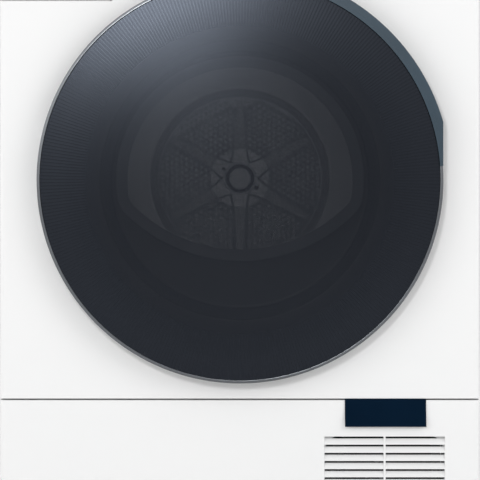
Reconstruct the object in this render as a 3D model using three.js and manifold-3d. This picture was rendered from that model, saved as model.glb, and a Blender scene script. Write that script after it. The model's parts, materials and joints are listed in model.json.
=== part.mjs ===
// Heat-pump tumble dryer, 60 cm wide and 85 cm high, as an assembly of separate pieces.
// Millimetres. X runs to the right seen from the front, the front faces -Y, +Z is up.
// The origin is the centre of the base of the whole machine's box.
import * as THREE from 'three';
import { mergeVertices } from 'three/addons/utils/BufferGeometryUtils.js';
import Module from 'manifold-3d';

const wasm = await Module();
wasm.setup();

// ---------------------------------------------------------------- driving dimensions

const CLEAR = 0.3; // between pieces that seat on each other
const SEAM = 2; // open seam between outer panels
const SHEET = 2; // steel sheet of the casing
const ROUND = 40; // sides of a large circle
const DOOR_ROUND = 56; // sides of the door's outer circles
const SMALL_ROUND = 12; // sides of a small circle

// casing
const WIDTH = 596;
const HEIGHT = 850;
const CASE_DEPTH = 575; // front panel's face to rear panel's face
const DOOR_PROUD = 46; // how far the glass stands in front of the front panel
const DUCT_DEPTH = 22; // how far the rear duct cover stands behind the rear panel
const FOOT_HEIGHT = 18;
const PLINTH_HEIGHT = 184;
const WORKTOP_THICKNESS = 30;
const FASCIA_HEIGHT = 78;
const PANEL_RETURN = 28; // depth of the front pieces' side walls
const PANEL_RADIUS = 5;
const SIDE_FLANGE = 12;

// condensate container, behind the front at the top left
const DRAWER_WIDTH = 138;
const DRAWER_HEIGHT = 119;
const TANK_WIDTH = 112;
const TANK_HEIGHT = 82;
const TANK_LENGTH = 440;
const TANK_WALL = 2.5;
const BAY_WALL = 2;
const RUNNER_CLEAR = 1; // container to its bay
const FILL_HOLE = 24;

// door; its radii are set back from the drum's, which they share an axis with
const GLASS_INSET = 38; // glass's edge inside the drum's outer surface
const GLASS_THICKNESS = 4;
const GLASS_RISE = 17; // crown of the domed glass
const RIM_WIDTH = 3.3;
const RIM_DEPTH = 6;
const RIM_PLATE = 1.5;
const FRAME_INSET = 20; // door frame inside the glass's edge
const FRAME_SEAT = 15; // door frame's bore outside the port
const DOOR_GAP = 3; // door frame to front panel
const GRIP_REACH = 10; // how far the grip stands out of the rim
const GRIP_DEPTH = 11;
const LINER_INSET = 9; // liner inside the port
const LINER_TAPER = 10;
const LINER_WALL = 3;
const LINER_BACK = 64; // liner's rear face behind the front panel's face
const WINDOW_INSET = 33; // window's upper arc inside the liner
const WINDOW_LOW_SPREAD = 15; // its flatter lower arc is this much larger than the liner
const WINDOW_LOW_RISE = 87; // window's lowest point above the liner's
const WINDOW_CORNER = 22;
const WINDOW_THICKNESS = 4;
const WINDOW_LEDGE = 8;
const SEAL_OFFSET = 7; // seal's middle outside the port
const SEAL_WIDTH = 10;

// door hinge and lock
const HINGE_INSET = 13; // pivot inside the rim's outer edge
const HINGE_STANDOFF = 18.5; // pivot in front of the front panel's face
const KNUCKLE_RADIUS = 4.2;
const HINGE_PIN_RADIUS = 2.5;
const KNUCKLE_HALF = 51.5;
const LUG_HEIGHT = 14;
const HINGE_PLATE = 3;
const RUN_CLEAR = 0.35; // turning piece on its pin
const HOOK_WIDTH = 6;
const HOOK_HEIGHT = 16;
const HOOK_REACH = 26; // hook's tip behind the front panel's face
const HOOK_INSET = 10; // hook inside the door frame's outer surface
const LEVER_THICKNESS = 4;
const LEVER_LENGTH = 26;

// drum
const DRUM_SIDE_GAP = 14; // drum to the casing's outer width
const DRUM_HEADROOM = 61; // drum to the worktop
const DRUM_FLOOR_GAP = 7; // drum to the heat pump's channel
const DRUM_SHEET = 2;
const DRUM_FRONT_GAP = 63.5; // drum's front lip behind the front panel's face
const DRUM_BACK_GAP = 35.5; // drum's back in front of the rear panel
const DRUM_LIP = 22; // width of the shell's front lip
const DRUM_BACK_LIP = 16;
const REAR_WALL_SHEET = 2;
const REAR_WALL_DISH = 12;
const PERFORATED_RADIUS = 118;
const RING_RADIUS = 132;
const SPOKE_WIDTH = 12;
const SPOKE_HEIGHT = 3;
const HUB_RADIUS = 38;
const SHAFT_RADIUS = 10;
const LIFTER_COUNT = 3;
const LIFTER_FRONT_GAP = 30;
const LIFTER_BACK_GAP = 64;
const LIFTER_HEIGHT = 54;
const LIFTER_HALF_ANGLE = 9; // degrees
const BEARING_RADIUS = 26;
const BEARING_LENGTH = 10;

// port, bulkhead, filter
const PORT_INSET = 99; // port inside the drum's outer surface
const PORT_LENGTH = 58;
const BULKHEAD_SHEET = 2;
const PANEL_OPENING_MARGIN = 18; // front panel's opening outside the port
const FELT_RING_GAP = 6; // felt ring inside the drum's front lip
const FELT_RING_LENGTH = 10;
const FILTER_WIDTH = 150;
const FILTER_THICKNESS = 12;

// drive
const BELT_WIDTH = 9;
const BELT_THICKNESS = 2;
const BELT_CLEAR = 0.5;
const BELT_INSET = 185.5; // belt in front of the rear panel
const MOTOR_SIDE_GAP = 128; // motor's axis to the casing's outer width
const MOTOR_Z = 119;
const MOTOR_RADIUS = 44;
const MOTOR_LENGTH = 78;
const MOTOR_SHAFT_RADIUS = 6;
const PULLEY_RADIUS = 9;
const IDLER_OFFSET = 110; // idler beside the motor
const IDLER_Z = 146;
const IDLER_RADIUS = 20;
const IDLER_ARM_LENGTH = 62;
const IDLER_PIN_RADIUS = 4;
const SPRING_WIRE = 0.9;
const SPRING_TURNS = 6;
const ROLLER_RADIUS = 22;
const ROLLER_WIDTH = 14;
const ROLLER_ANGLE = 38; // degrees from straight down
const ROLLER_PIN_RADIUS = 5;
const FAN_RADIUS = 56;
const FAN_WIDTH = 34;
const FAN_BLADES = 8;
const FAN_CASE_RADIUS = 70;

// base and heat pump
const BASE_FLOOR = 4;
const BASE_RIM_HEIGHT = 30;
const BASE_WALL = 3;
const CHANNEL_SIDE_GAP = 12; // channel to the casing's outer width
const CHANNEL_COMPRESSOR_GAP = 176; // channel's right side to the compressor's axis
const CHANNEL_HEIGHT = 166;
const CHANNEL_INSET = 35.5; // channel's mouth behind the front panel's face
const CHANNEL_BELT_GAP = 16;
const CHANNEL_WALL = 3;
const COIL_FRONT_GAP = 30;
const COIL_BACK_GAP = 43;
const COIL_SPACING = 24;
const COIL_FINS = 6;
const COMPRESSOR_SIDE_GAP = 102; // compressor's axis to the casing's outer width
const COMPRESSOR_INSET = 209.5; // its axis behind the front panel's face
const COMPRESSOR_RADIUS = 58;
const COMPRESSOR_HEIGHT = 140;
const COOLER_Z = 100;
const COOLER_RADIUS = 46;
const COOLER_BLADES = 5;
const COOLER_INSET = 53.5; // fan's middle behind the front panel's face

// plinth flap
const FLAP_PIVOT_INSET = 13.5; // behind the flap's face
const FLAP_PIVOT_RISE = 9; // above the flap's lower edge
const FLAP_PIN_RADIUS = 3;
const GRILLE_SIDE_GAP = 44; // grille's right edge to the casing's outer width
const GRILLE_WIDTH = 149.2;
const GRILLE_TOP = 157; // z of the highest slot's upper edge
const GRILLE_ROWS = 11;
const GRILLE_PITCH = 10;
const GRILLE_SLOT = 2.4;
const GRILLE_RIB = 2.8;
const SLAT_DEPTH = 3;
const TAB_SIDE_GAP = 66; // tab's right edge to the casing's outer width
const TAB_WIDTH = 102;
const TAB_DROP = 33; // below the flap's upper edge
const TAB_THICKNESS = 1.4;
const COVER_THICKNESS = 4;
const LATCH_RADIUS = 14;
const LATCH_PIN_RADIUS = 4;

// controls
const KNOB_SIDE_GAP = 227; // knob's axis to the casing's outer width
const KNOB_RADIUS = 23;
const KNOB_LENGTH = 22;
const KNOB_SHAFT_RADIUS = 3;
const DISPLAY_SIDE_GAP = 72; // display's right edge to the casing's outer width
const DISPLAY_WIDTH = 108;
const DISPLAY_HEIGHT = 34;
const BOARD_THICKNESS = 2;
const BUTTON_SIDE_GAP = 40;
const BUTTON_RADIUS = 11;
const BUTTON_TRAVEL = 2;
const BUTTON_PROUD = 3;

// rear
const DUCT_RADIUS = 168;
const DUCT_WALL = 2;
const REAR_OPENING_RADIUS = 140;
const SPIDER_WIDTH = 30;
const INLET_SIDE_GAP = 62;
const INLET_DROP = 70; // inlet's middle below the machine's top
const INLET_WIDTH = 34;
const INLET_HEIGHT = 26;

// feet
const FOOT_SIDE_GAP = 46;
const FOOT_FRONT_GAP = 53.5;
const FOOT_REAR_GAP = 77.5;
const FOOT_RADIUS = 20;
const FOOT_STEM_RADIUS = 5;

// ---------------------------------------------------------------- planes worked out from them

const HALF = WIDTH / 2;
const DOOR_FRONT = -(DOOR_PROUD + CASE_DEPTH + DUCT_DEPTH) / 2;
const FRONT = DOOR_FRONT + DOOR_PROUD;
const REAR = FRONT + CASE_DEPTH;
const SIDE_INNER = HALF - SHEET;
const PLINTH_TOP = FOOT_HEIGHT + PLINTH_HEIGHT;
const FRONT_BOTTOM = PLINTH_TOP + SEAM;
const WORKTOP_BOTTOM = HEIGHT - WORKTOP_THICKNESS;
const FASCIA_TOP = WORKTOP_BOTTOM - SEAM;
const FASCIA_BOTTOM = FASCIA_TOP - FASCIA_HEIGHT;
const DRAWER_BOTTOM = FASCIA_TOP - DRAWER_HEIGHT;
const DRAWER_RIGHT = -HALF + DRAWER_WIDTH;
const INNER_LEFT = DRAWER_RIGHT + SEAM;
const PANEL_BACK = FRONT + PANEL_RETURN;
const SKIN_BACK = FRONT + SHEET;
const REAR_INNER = REAR - SHEET;

// the drum is the largest that the casing holds both across and upward
const CHANNEL_TOP = FOOT_HEIGHT + CHANNEL_HEIGHT;
const DRUM_ACROSS = WIDTH - 2 * DRUM_SIDE_GAP;
const DRUM_UPWARD = WORKTOP_BOTTOM - DRUM_HEADROOM - CHANNEL_TOP - DRUM_FLOOR_GAP;
const DRUM_RADIUS = Math.min(DRUM_ACROSS, DRUM_UPWARD) / 2;
const AXIS_HEIGHT = CHANNEL_TOP + DRUM_FLOOR_GAP + DRUM_RADIUS; // drum, port and door share it
const DRUM_FRONT = FRONT + DRUM_FRONT_GAP;
const DRUM_BACK = REAR_INNER - DRUM_BACK_GAP;
const DRUM_LIP_RADIUS = DRUM_RADIUS - DRUM_LIP;
const DRUM_BACK_LIP_RADIUS = DRUM_RADIUS - DRUM_BACK_LIP;
const PORT_RADIUS = DRUM_RADIUS - PORT_INSET;
const PANEL_OPENING_RADIUS = PORT_RADIUS + PANEL_OPENING_MARGIN;
const FELT_RING_RADIUS = DRUM_LIP_RADIUS - FELT_RING_GAP;

const GLASS_RADIUS = DRUM_RADIUS - GLASS_INSET;
const FRAME_RADIUS = GLASS_RADIUS - FRAME_INSET;
const FRAME_INNER = PORT_RADIUS + FRAME_SEAT;
const LINER_RADIUS = PORT_RADIUS - LINER_INSET; // where the liner enters the port
const SEAL_RADIUS = PORT_RADIUS + SEAL_OFFSET;
const HOOK_SIDE = FRAME_RADIUS - HOOK_INSET;

const BELT_Y = REAR_INNER - BELT_INSET;
const MOTOR_X = HALF - MOTOR_SIDE_GAP;
const IDLER_X = MOTOR_X - IDLER_OFFSET;
const COMPRESSOR_X = HALF - COMPRESSOR_SIDE_GAP;
const COMPRESSOR_Y = FRONT + COMPRESSOR_INSET;
const CHANNEL_LEFT = -HALF + CHANNEL_SIDE_GAP;
const CHANNEL_RIGHT = COMPRESSOR_X - CHANNEL_COMPRESSOR_GAP;
const CHANNEL_FRONT = FRONT + CHANNEL_INSET;
const CHANNEL_BACK = BELT_Y - CHANNEL_BELT_GAP;
const COIL_FRONT = CHANNEL_FRONT + COIL_FRONT_GAP;
const COIL_DEPTH = (CHANNEL_BACK - CHANNEL_WALL - COIL_BACK_GAP - COIL_FRONT - COIL_SPACING) / 2;

const GRILLE_RIGHT = HALF - GRILLE_SIDE_GAP;
const GRILLE_LEFT = GRILLE_RIGHT - GRILLE_WIDTH;
const GRILLE_MIDDLE = GRILLE_LEFT + GRILLE_WIDTH / 2;
const COOLER_X = GRILLE_MIDDLE;
const COOLER_Y = FRONT + COOLER_INSET;
const TAB_LEFT = HALF - TAB_SIDE_GAP - TAB_WIDTH;
const KNOB_X = HALF - KNOB_SIDE_GAP;
const DISPLAY_LEFT = HALF - DISPLAY_SIDE_GAP - DISPLAY_WIDTH;
const BUTTON_X = HALF - BUTTON_SIDE_GAP;
const INLET_X = HALF - INLET_SIDE_GAP;
const INLET_Z = HEIGHT - INLET_DROP;
const FOOT_X = HALF - FOOT_SIDE_GAP;
const FOOT_FRONT_Y = FRONT + FOOT_FRONT_GAP;
const FOOT_REAR_Y = REAR - FOOT_REAR_GAP;

// ---------------------------------------------------------------- shape helpers

const degrees = (angle) => (angle * Math.PI) / 180;

// a closed geometry as a manifold solid, its faces turned outward
function solid(source) {
  const bare = source.clone();
  bare.deleteAttribute('normal');
  bare.deleteAttribute('uv');
  const merged = mergeVertices(bare, 1e-4);
  const position = merged.attributes.position.array;
  const index = merged.index.array;
  const corners = [];
  let volume = 0;
  const a = new THREE.Vector3();
  const b = new THREE.Vector3();
  const c = new THREE.Vector3();
  for (let i = 0; i < index.length; i += 3) {
    const [p, q, r] = [index[i], index[i + 1], index[i + 2]];
    if (p === q || q === r || r === p) continue;
    corners.push(p, q, r);
    a.fromArray(position, 3 * p);
    b.fromArray(position, 3 * q);
    c.fromArray(position, 3 * r);
    volume += a.dot(b.cross(c));
  }
  if (volume < 0) corners.reverse();
  const mesh = new wasm.Mesh({
    numProp: 3,
    vertProperties: new Float32Array(position),
    triVerts: new Uint32Array(corners),
  });
  return new wasm.Manifold(mesh);
}

function toGeometry(body) {
  const mesh = body.getMesh();
  const geometry = new THREE.BufferGeometry();
  geometry.setAttribute('position', new THREE.BufferAttribute(mesh.vertProperties, 3));
  geometry.setIndex(new THREE.BufferAttribute(mesh.triVerts, 1));
  geometry.computeVertexNormals();
  return geometry;
}

const join = (...bodies) => bodies.reduce((whole, body) => whole.add(body));
const cut = (body, ...tools) => tools.reduce((rest, tool) => rest.subtract(tool), body);

function box([x0, x1], [y0, y1], [z0, z1]) {
  const geometry = new THREE.BoxGeometry(x1 - x0, y1 - y0, z1 - z0);
  geometry.translate((x0 + x1) / 2, (y0 + y1) / 2, (z0 + z1) / 2);
  return solid(geometry);
}

// a flat outline pushed along one axis; points are the two other coordinates in X, Y, Z order
const AXES = {
  x: [[0, 1, 0], [0, 0, 1], [1, 0, 0]],
  y: [[1, 0, 0], [0, 0, 1], [0, -1, 0]],
  z: [[1, 0, 0], [0, 1, 0], [0, 0, 1]],
};

function prism(axis, points, from, to) {
  const outline = new THREE.Shape(points.map(([u, v]) => new THREE.Vector2(u, v)));
  const geometry = new THREE.ExtrudeGeometry(outline, { depth: to - from, bevelEnabled: false });
  const [u, v, w] = AXES[axis].map((direction) => new THREE.Vector3(...direction));
  geometry.applyMatrix4(new THREE.Matrix4().makeBasis(u, v, w));
  const start = axis === 'y' ? to : from;
  const shift = (name) => (name === axis ? start : 0);
  geometry.translate(shift('x'), shift('y'), shift('z'));
  return solid(geometry);
}

// points of an arc, angles in degrees
function arc(cx, cy, radius, from, to, steps) {
  return Array.from({ length: steps + 1 }, (_, i) => {
    const angle = degrees(from + ((to - from) * i) / steps);
    return [cx + radius * Math.cos(angle), cy + radius * Math.sin(angle)];
  });
}

const circle = (cx, cy, radius, sides = ROUND) => arc(cx, cy, radius, 0, 360, sides).slice(0, -1);

// a round bar or disc along an axis, centred at the two other coordinates
function disc(axis, centre, radius, from, to, sides = ROUND) {
  return prism(axis, circle(...centre, radius, sides), from, to);
}

// a closed outline of [radius, y] points turned about the Y axis through (0, z)
function turned(points, sides = ROUND, z = 0) {
  const outline = [...points, points[0]].map(([r, y]) => new THREE.Vector2(r, y));
  const geometry = new THREE.LatheGeometry(outline, sides);
  geometry.translate(0, 0, z);
  return solid(geometry);
}

// a rectangle of [radius, y] turned about the Y axis
function ring(inner, outer, from, to, sides = ROUND) {
  return turned([[inner, from], [outer, from], [outer, to], [inner, to]], sides);
}

function paint(color, roughness, metalness = 0) {
  return new THREE.MeshStandardMaterial({ color, roughness, metalness });
}

const WHITE = paint(0xf2f2f2, 0.35);
const STEEL = paint(0xb9bcbf, 0.35, 0.9);
const ZINC = paint(0x9fa4a6, 0.5, 0.7);
const DARK = paint(0x2b2d30, 0.55);
const GREY = paint(0x8d9194, 0.6);
const GLASS = paint(0x25272b, 0.08);
const CLEAR_GLASS = paint(0x596066, 0.1);
const PETROL = paint(0x48545d, 0.4, 0.3);
const NAVY = paint(0x091a2c, 0.5);
const RUBBER = paint(0x1c1d1e, 0.85);

const dryer = new THREE.Group();

function piece(name, body, material, parent = dryer) {
  const mesh = new THREE.Mesh(toGeometry(body), material);
  mesh.name = name;
  parent.add(mesh);
  return mesh;
}

function groupAt(x, y, z) {
  const group = new THREE.Group();
  group.position.set(x, y, z);
  dryer.add(group);
  return group;
}

// ---------------------------------------------------------------- casing

// plan outline of a front piece: a skin with rounded corners and side walls going back
function traySection(x0, x1, wall = SHEET) {
  const outer = PANEL_RADIUS;
  const inner = PANEL_RADIUS - wall;
  const y = FRONT + outer;
  return [
    [x0, PANEL_BACK],
    ...arc(x0 + outer, y, outer, 180, 270, 4),
    ...arc(x1 - outer, y, outer, 270, 360, 4),
    [x1, PANEL_BACK],
    [x1 - wall, PANEL_BACK],
    ...arc(x1 - outer, y, inner, 360, 270, 4),
    ...arc(x0 + outer, y, inner, 270, 180, 4),
    [x0 + wall, PANEL_BACK],
  ];
}

function worktop() {
  const edge = 4;
  const front = FRONT - SEAM / 2;
  const section = [
    [front + edge, WORKTOP_BOTTOM],
    [REAR, WORKTOP_BOTTOM],
    [REAR, HEIGHT],
    [front + 2 * edge, HEIGHT],
    [front + edge / 2, HEIGHT - edge / 2],
    [front, HEIGHT - 2 * edge],
    [front, WORKTOP_BOTTOM + edge],
  ];
  const slab = prism('x', section, -HALF, HALF);
  const wall = 12;
  const hollow = box([-HALF + wall, HALF - wall], [front + 2 * wall, REAR - wall],
    [WORKTOP_BOTTOM - 1, HEIGHT - wall]);
  return cut(slab, hollow);
}

function sidePanel(side) {
  const front = PANEL_BACK + CLEAR;
  const outline = [
    [HALF, front],
    [HALF, REAR],
    [SIDE_INNER, REAR],
    [SIDE_INNER, front + SHEET],
    [SIDE_INNER - SIDE_FLANGE, front + SHEET],
    [SIDE_INNER - SIDE_FLANGE, front],
  ].map(([x, y]) => [side * x, y]);
  return prism('z', side > 0 ? outline : outline.reverse(), FOOT_HEIGHT, WORKTOP_BOTTOM - CLEAR);
}

const PIVOT_X = -(GLASS_RADIUS + CLEAR + RIM_WIDTH) + HINGE_INSET;
const PIVOT_Y = FRONT - HINGE_STANDOFF;
const LUG_FROM = KNUCKLE_HALF + 0.5;

function frontPanel() {
  const body = prism('z', traySection(-HALF, HALF), FRONT_BOTTOM, FASCIA_BOTTOM - SEAM);
  const corner = box([-HALF - 1, INNER_LEFT], [FRONT - 1, PANEL_BACK + 1],
    [DRAWER_BOTTOM - SEAM, FASCIA_BOTTOM]);
  const opening = disc('y', [0, AXIS_HEIGHT], PANEL_OPENING_RADIUS, FRONT - 1, SKIN_BACK + 1);
  const margin = 4;
  const hookSlot = box([HOOK_SIDE - HOOK_WIDTH / 2 - margin, HOOK_SIDE + HOOK_WIDTH / 2 + margin],
    [FRONT - 1, SKIN_BACK + 1],
    [AXIS_HEIGHT - HOOK_HEIGHT / 2 - margin, AXIS_HEIGHT + HOOK_HEIGHT / 2 + margin]);
  const lugSlots = [-1, 1].map((side) => {
    const z = AXIS_HEIGHT + side * (LUG_FROM + LUG_HEIGHT / 2);
    return box([PIVOT_X - KNUCKLE_RADIUS - 1, PIVOT_X + KNUCKLE_RADIUS + 1],
      [FRONT - 1, SKIN_BACK + 1], [z - LUG_HEIGHT / 2 - 1, z + LUG_HEIGHT / 2 + 1]);
  });
  return cut(body, corner, opening, hookSlot, ...lugSlots);
}

const FASCIA_WALL = 3;
const DISPLAY_MID = FASCIA_BOTTOM + FASCIA_HEIGHT / 2;

function controlFascia() {
  const body = prism('z', traySection(INNER_LEFT, HALF, FASCIA_WALL), FASCIA_BOTTOM, FASCIA_TOP);
  const back = FRONT + FASCIA_WALL + 1;
  const knobHole = disc('y', [KNOB_X, DISPLAY_MID], KNOB_SHAFT_RADIUS + RUN_CLEAR,
    FRONT - 1, back, SMALL_ROUND);
  const buttonHole = disc('y', [BUTTON_X, DISPLAY_MID], BUTTON_RADIUS + RUN_CLEAR,
    FRONT - 1, back, 2 * SMALL_ROUND);
  const window = box([DISPLAY_LEFT, DISPLAY_LEFT + DISPLAY_WIDTH], [FRONT - 1, back],
    [DISPLAY_MID - DISPLAY_HEIGHT / 2, DISPLAY_MID + DISPLAY_HEIGHT / 2]);
  return cut(body, knobHole, buttonHole, window);
}

const BOARD_Y = FRONT + FASCIA_WALL + 12;

// circuit board with the screen standing in the fascia's window and the selector's shaft seat
function displayModule() {
  const edge = 6;
  const board = box([KNOB_X - 30, HALF - FASCIA_WALL - CLEAR], [BOARD_Y, BOARD_Y + BOARD_THICKNESS],
    [FASCIA_BOTTOM + edge, FASCIA_TOP - edge]);
  const screen = box([DISPLAY_LEFT + CLEAR, DISPLAY_LEFT + DISPLAY_WIDTH - CLEAR],
    [FRONT + 0.2, BOARD_Y + BOARD_THICKNESS / 2],
    [DISPLAY_MID - DISPLAY_HEIGHT / 2 + CLEAR, DISPLAY_MID + DISPLAY_HEIGHT / 2 - CLEAR]);
  const encoder = disc('y', [KNOB_X, DISPLAY_MID], KNOB_SHAFT_RADIUS + 4,
    BOARD_Y - 6, BOARD_Y + BOARD_THICKNESS / 2, SMALL_ROUND);
  const shaftHole = disc('y', [KNOB_X, DISPLAY_MID], KNOB_SHAFT_RADIUS + RUN_CLEAR,
    BOARD_Y - 7, BOARD_Y + BOARD_THICKNESS + 1, SMALL_ROUND);
  return cut(join(board, screen, encoder), shaftHole);
}

function rearPanel() {
  const edge = SIDE_INNER - CLEAR;
  const sheet = box([-edge, edge], [REAR_INNER, REAR], [FOOT_HEIGHT, WORKTOP_BOTTOM - CLEAR]);
  const opening = disc('y', [0, AXIS_HEIGHT], REAR_OPENING_RADIUS, REAR_INNER - 1, REAR + 1);
  const fanHole = disc('y', [MOTOR_X, MOTOR_Z], FAN_CASE_RADIUS - 16, REAR_INNER - 1, REAR + 1, 32);
  const inlet = box([INLET_X - INLET_WIDTH / 2, INLET_X + INLET_WIDTH / 2],
    [REAR_INNER - 1, REAR + 1], [INLET_Z - INLET_HEIGHT / 2, INLET_Z + INLET_HEIGHT / 2]);
  // three arms across the opening carry the drum's bearing
  const seat = disc('y', [0, AXIS_HEIGHT], BEARING_RADIUS + 12, REAR_INNER, REAR, 32);
  const arms = [90, 210, 330].map((angle) => {
    const arm = box([0, REAR_OPENING_RADIUS + 4], [REAR_INNER, REAR],
      [-SPIDER_WIDTH / 2, SPIDER_WIDTH / 2]);
    return arm.rotate([0, -angle, 0]).translate([0, 0, AXIS_HEIGHT]);
  });
  const bore = disc('y', [0, AXIS_HEIGHT], SHAFT_RADIUS + 2, REAR_INNER - 1, REAR + 1, SMALL_ROUND);
  return cut(join(cut(sheet, opening, fanHole, inlet), seat, ...arms), bore);
}

// pear-shaped outline of the rear duct: a large circle over the drum, a small one over the fan
function ductOutline(shrink) {
  const big = DUCT_RADIUS - shrink;
  const small = FAN_CASE_RADIUS + 6 - shrink;
  const dx = MOTOR_X;
  const dz = MOTOR_Z - AXIS_HEIGHT;
  const heading = (Math.atan2(dz, dx) * 180) / Math.PI;
  const spread = (Math.acos((big - small) / Math.hypot(dx, dz)) * 180) / Math.PI;
  return [
    ...arc(0, AXIS_HEIGHT, big, heading + spread, heading - spread + 360, 24),
    ...arc(MOTOR_X, MOTOR_Z, small, heading - spread, heading + spread, 12),
  ];
}

function rearDuctCover() {
  const from = REAR + CLEAR;
  const to = REAR + DUCT_DEPTH;
  const shell = prism('y', ductOutline(0), from, to);
  return cut(shell, prism('y', ductOutline(DUCT_WALL), from - 1, to - DUCT_WALL));
}

function powerInlet() {
  const body = box([INLET_X - INLET_WIDTH / 2 + CLEAR, INLET_X + INLET_WIDTH / 2 - CLEAR],
    [REAR_INNER - 16, REAR + 2], [INLET_Z - INLET_HEIGHT / 2 + CLEAR, INLET_Z + INLET_HEIGHT / 2 - CLEAR]);
  const flange = box([INLET_X - INLET_WIDTH / 2 - 5, INLET_X + INLET_WIDTH / 2 + 5],
    [REAR + CLEAR, REAR + 3], [INLET_Z - INLET_HEIGHT / 2 - 5, INLET_Z + INLET_HEIGHT / 2 + 5]);
  const socket = box([INLET_X - INLET_WIDTH / 2 + 5, INLET_X + INLET_WIDTH / 2 - 5],
    [REAR - 12, REAR + 4], [INLET_Z - INLET_HEIGHT / 2 + 5, INLET_Z + INLET_HEIGHT / 2 - 5]);
  return cut(join(body, flange), socket);
}

piece('worktop', worktop(), WHITE);
piece('side_panel_left', sidePanel(-1), WHITE);
piece('side_panel_right', sidePanel(1), WHITE);
piece('front_panel', frontPanel(), WHITE);
piece('control_fascia', controlFascia(), WHITE);
piece('display_module', displayModule(), DARK);
piece('rear_panel', rearPanel(), ZINC);
piece('rear_duct_cover', rearDuctCover(), ZINC);
piece('power_inlet', powerInlet(), DARK);

// four levelling feet, each with a threaded stem turning in the base
const SOCKET_DEPTH = 16;

function foot() {
  const pad = disc('z', [0, 0], FOOT_RADIUS, 0, FOOT_HEIGHT / 2, 16);
  const neck = disc('z', [0, 0], FOOT_RADIUS / 2, FOOT_HEIGHT / 2 - 1, FOOT_HEIGHT - CLEAR, 6);
  const stem = disc('z', [0, 0], FOOT_STEM_RADIUS, FOOT_HEIGHT - 1,
    FOOT_HEIGHT + SOCKET_DEPTH - 2, SMALL_ROUND);
  return join(pad, neck, stem);
}

const FEET = [
  ['foot_front_left', -FOOT_X, FOOT_FRONT_Y],
  ['foot_front_right', FOOT_X, FOOT_FRONT_Y],
  ['foot_rear_left', -FOOT_X, FOOT_REAR_Y],
  ['foot_rear_right', FOOT_X, FOOT_REAR_Y],
];
for (const [name, x, y] of FEET) {
  piece(name, foot(), DARK, groupAt(x, y, 0));
}

// ---------------------------------------------------------------- base and heat pump

const FLOOR_TOP = FOOT_HEIGHT + BASE_FLOOR;
const BASE_FRONT = PANEL_BACK + SHEET + 2 * CLEAR;
const COVER_BACK = CHANNEL_FRONT - CLEAR;
const COVER_FRONT = COVER_BACK - COVER_THICKNESS;
const CHANNEL_FLANGE = 16; // stands up from the channel's mouth and carries the latches
const COVER_TOP = CHANNEL_TOP - 2 * COVER_THICKNESS;
const LATCH_Z = CHANNEL_TOP + CHANNEL_FLANGE / 2 - 3;
const LATCH_XS = [CHANNEL_LEFT + 60, CHANNEL_RIGHT - 60];
const FLAP_PIVOT = { y: FRONT + FLAP_PIVOT_INSET, z: FOOT_HEIGHT + FLAP_PIVOT_RISE };
const EAR_INNER = SIDE_INNER - SIDE_FLANGE - 22;
const EAR_WIDTH = 8;
const FLAP_LUG_WIDTH = 8;
const IDLER_PIVOT = { x: IDLER_X + IDLER_ARM_LENGTH * Math.SQRT1_2,
  z: IDLER_Z - IDLER_ARM_LENGTH * Math.SQRT1_2 };
const ARM_THICKNESS = 4;
const ARM_Y = BELT_Y + BELT_WIDTH / 2 + 3;
const POST_Y = ARM_Y + ARM_THICKNESS + CLEAR;
const POST_DEPTH = 9;
const SPRING_LENGTH = 12;

// round boss standing on the floor of the base, for the stem of a foot
function footSocket(x, y) {
  const radius = FOOT_STEM_RADIUS + 5;
  const boss = disc('z', [x, y], radius, FOOT_HEIGHT + 1, FOOT_HEIGHT + SOCKET_DEPTH + 3, SMALL_ROUND);
  const bore = disc('z', [x, y], FOOT_STEM_RADIUS + RUN_CLEAR, FOOT_HEIGHT - 1,
    FOOT_HEIGHT + SOCKET_DEPTH, SMALL_ROUND);
  return { boss, bore };
}

// bracket, ear and pin on which the flap turns, at one side
function flapEar(side) {
  const { y, z } = FLAP_PIVOT;
  const inner = EAR_INNER;
  const outline = [
    [BASE_FRONT + 2, z + 9],
    ...arc(y, z, 5, 90, 270, 6),
    [BASE_FRONT + 2, z - 5],
  ];
  const plate = prism('x', outline, inner, inner + EAR_WIDTH);
  const pin = disc('x', [y, z], FLAP_PIN_RADIUS, inner + 1,
    inner + EAR_WIDTH + FLAP_LUG_WIDTH + 2, SMALL_ROUND);
  const ear = join(plate, pin);
  return side > 0 ? ear : ear.mirror([1, 0, 0]);
}

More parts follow.
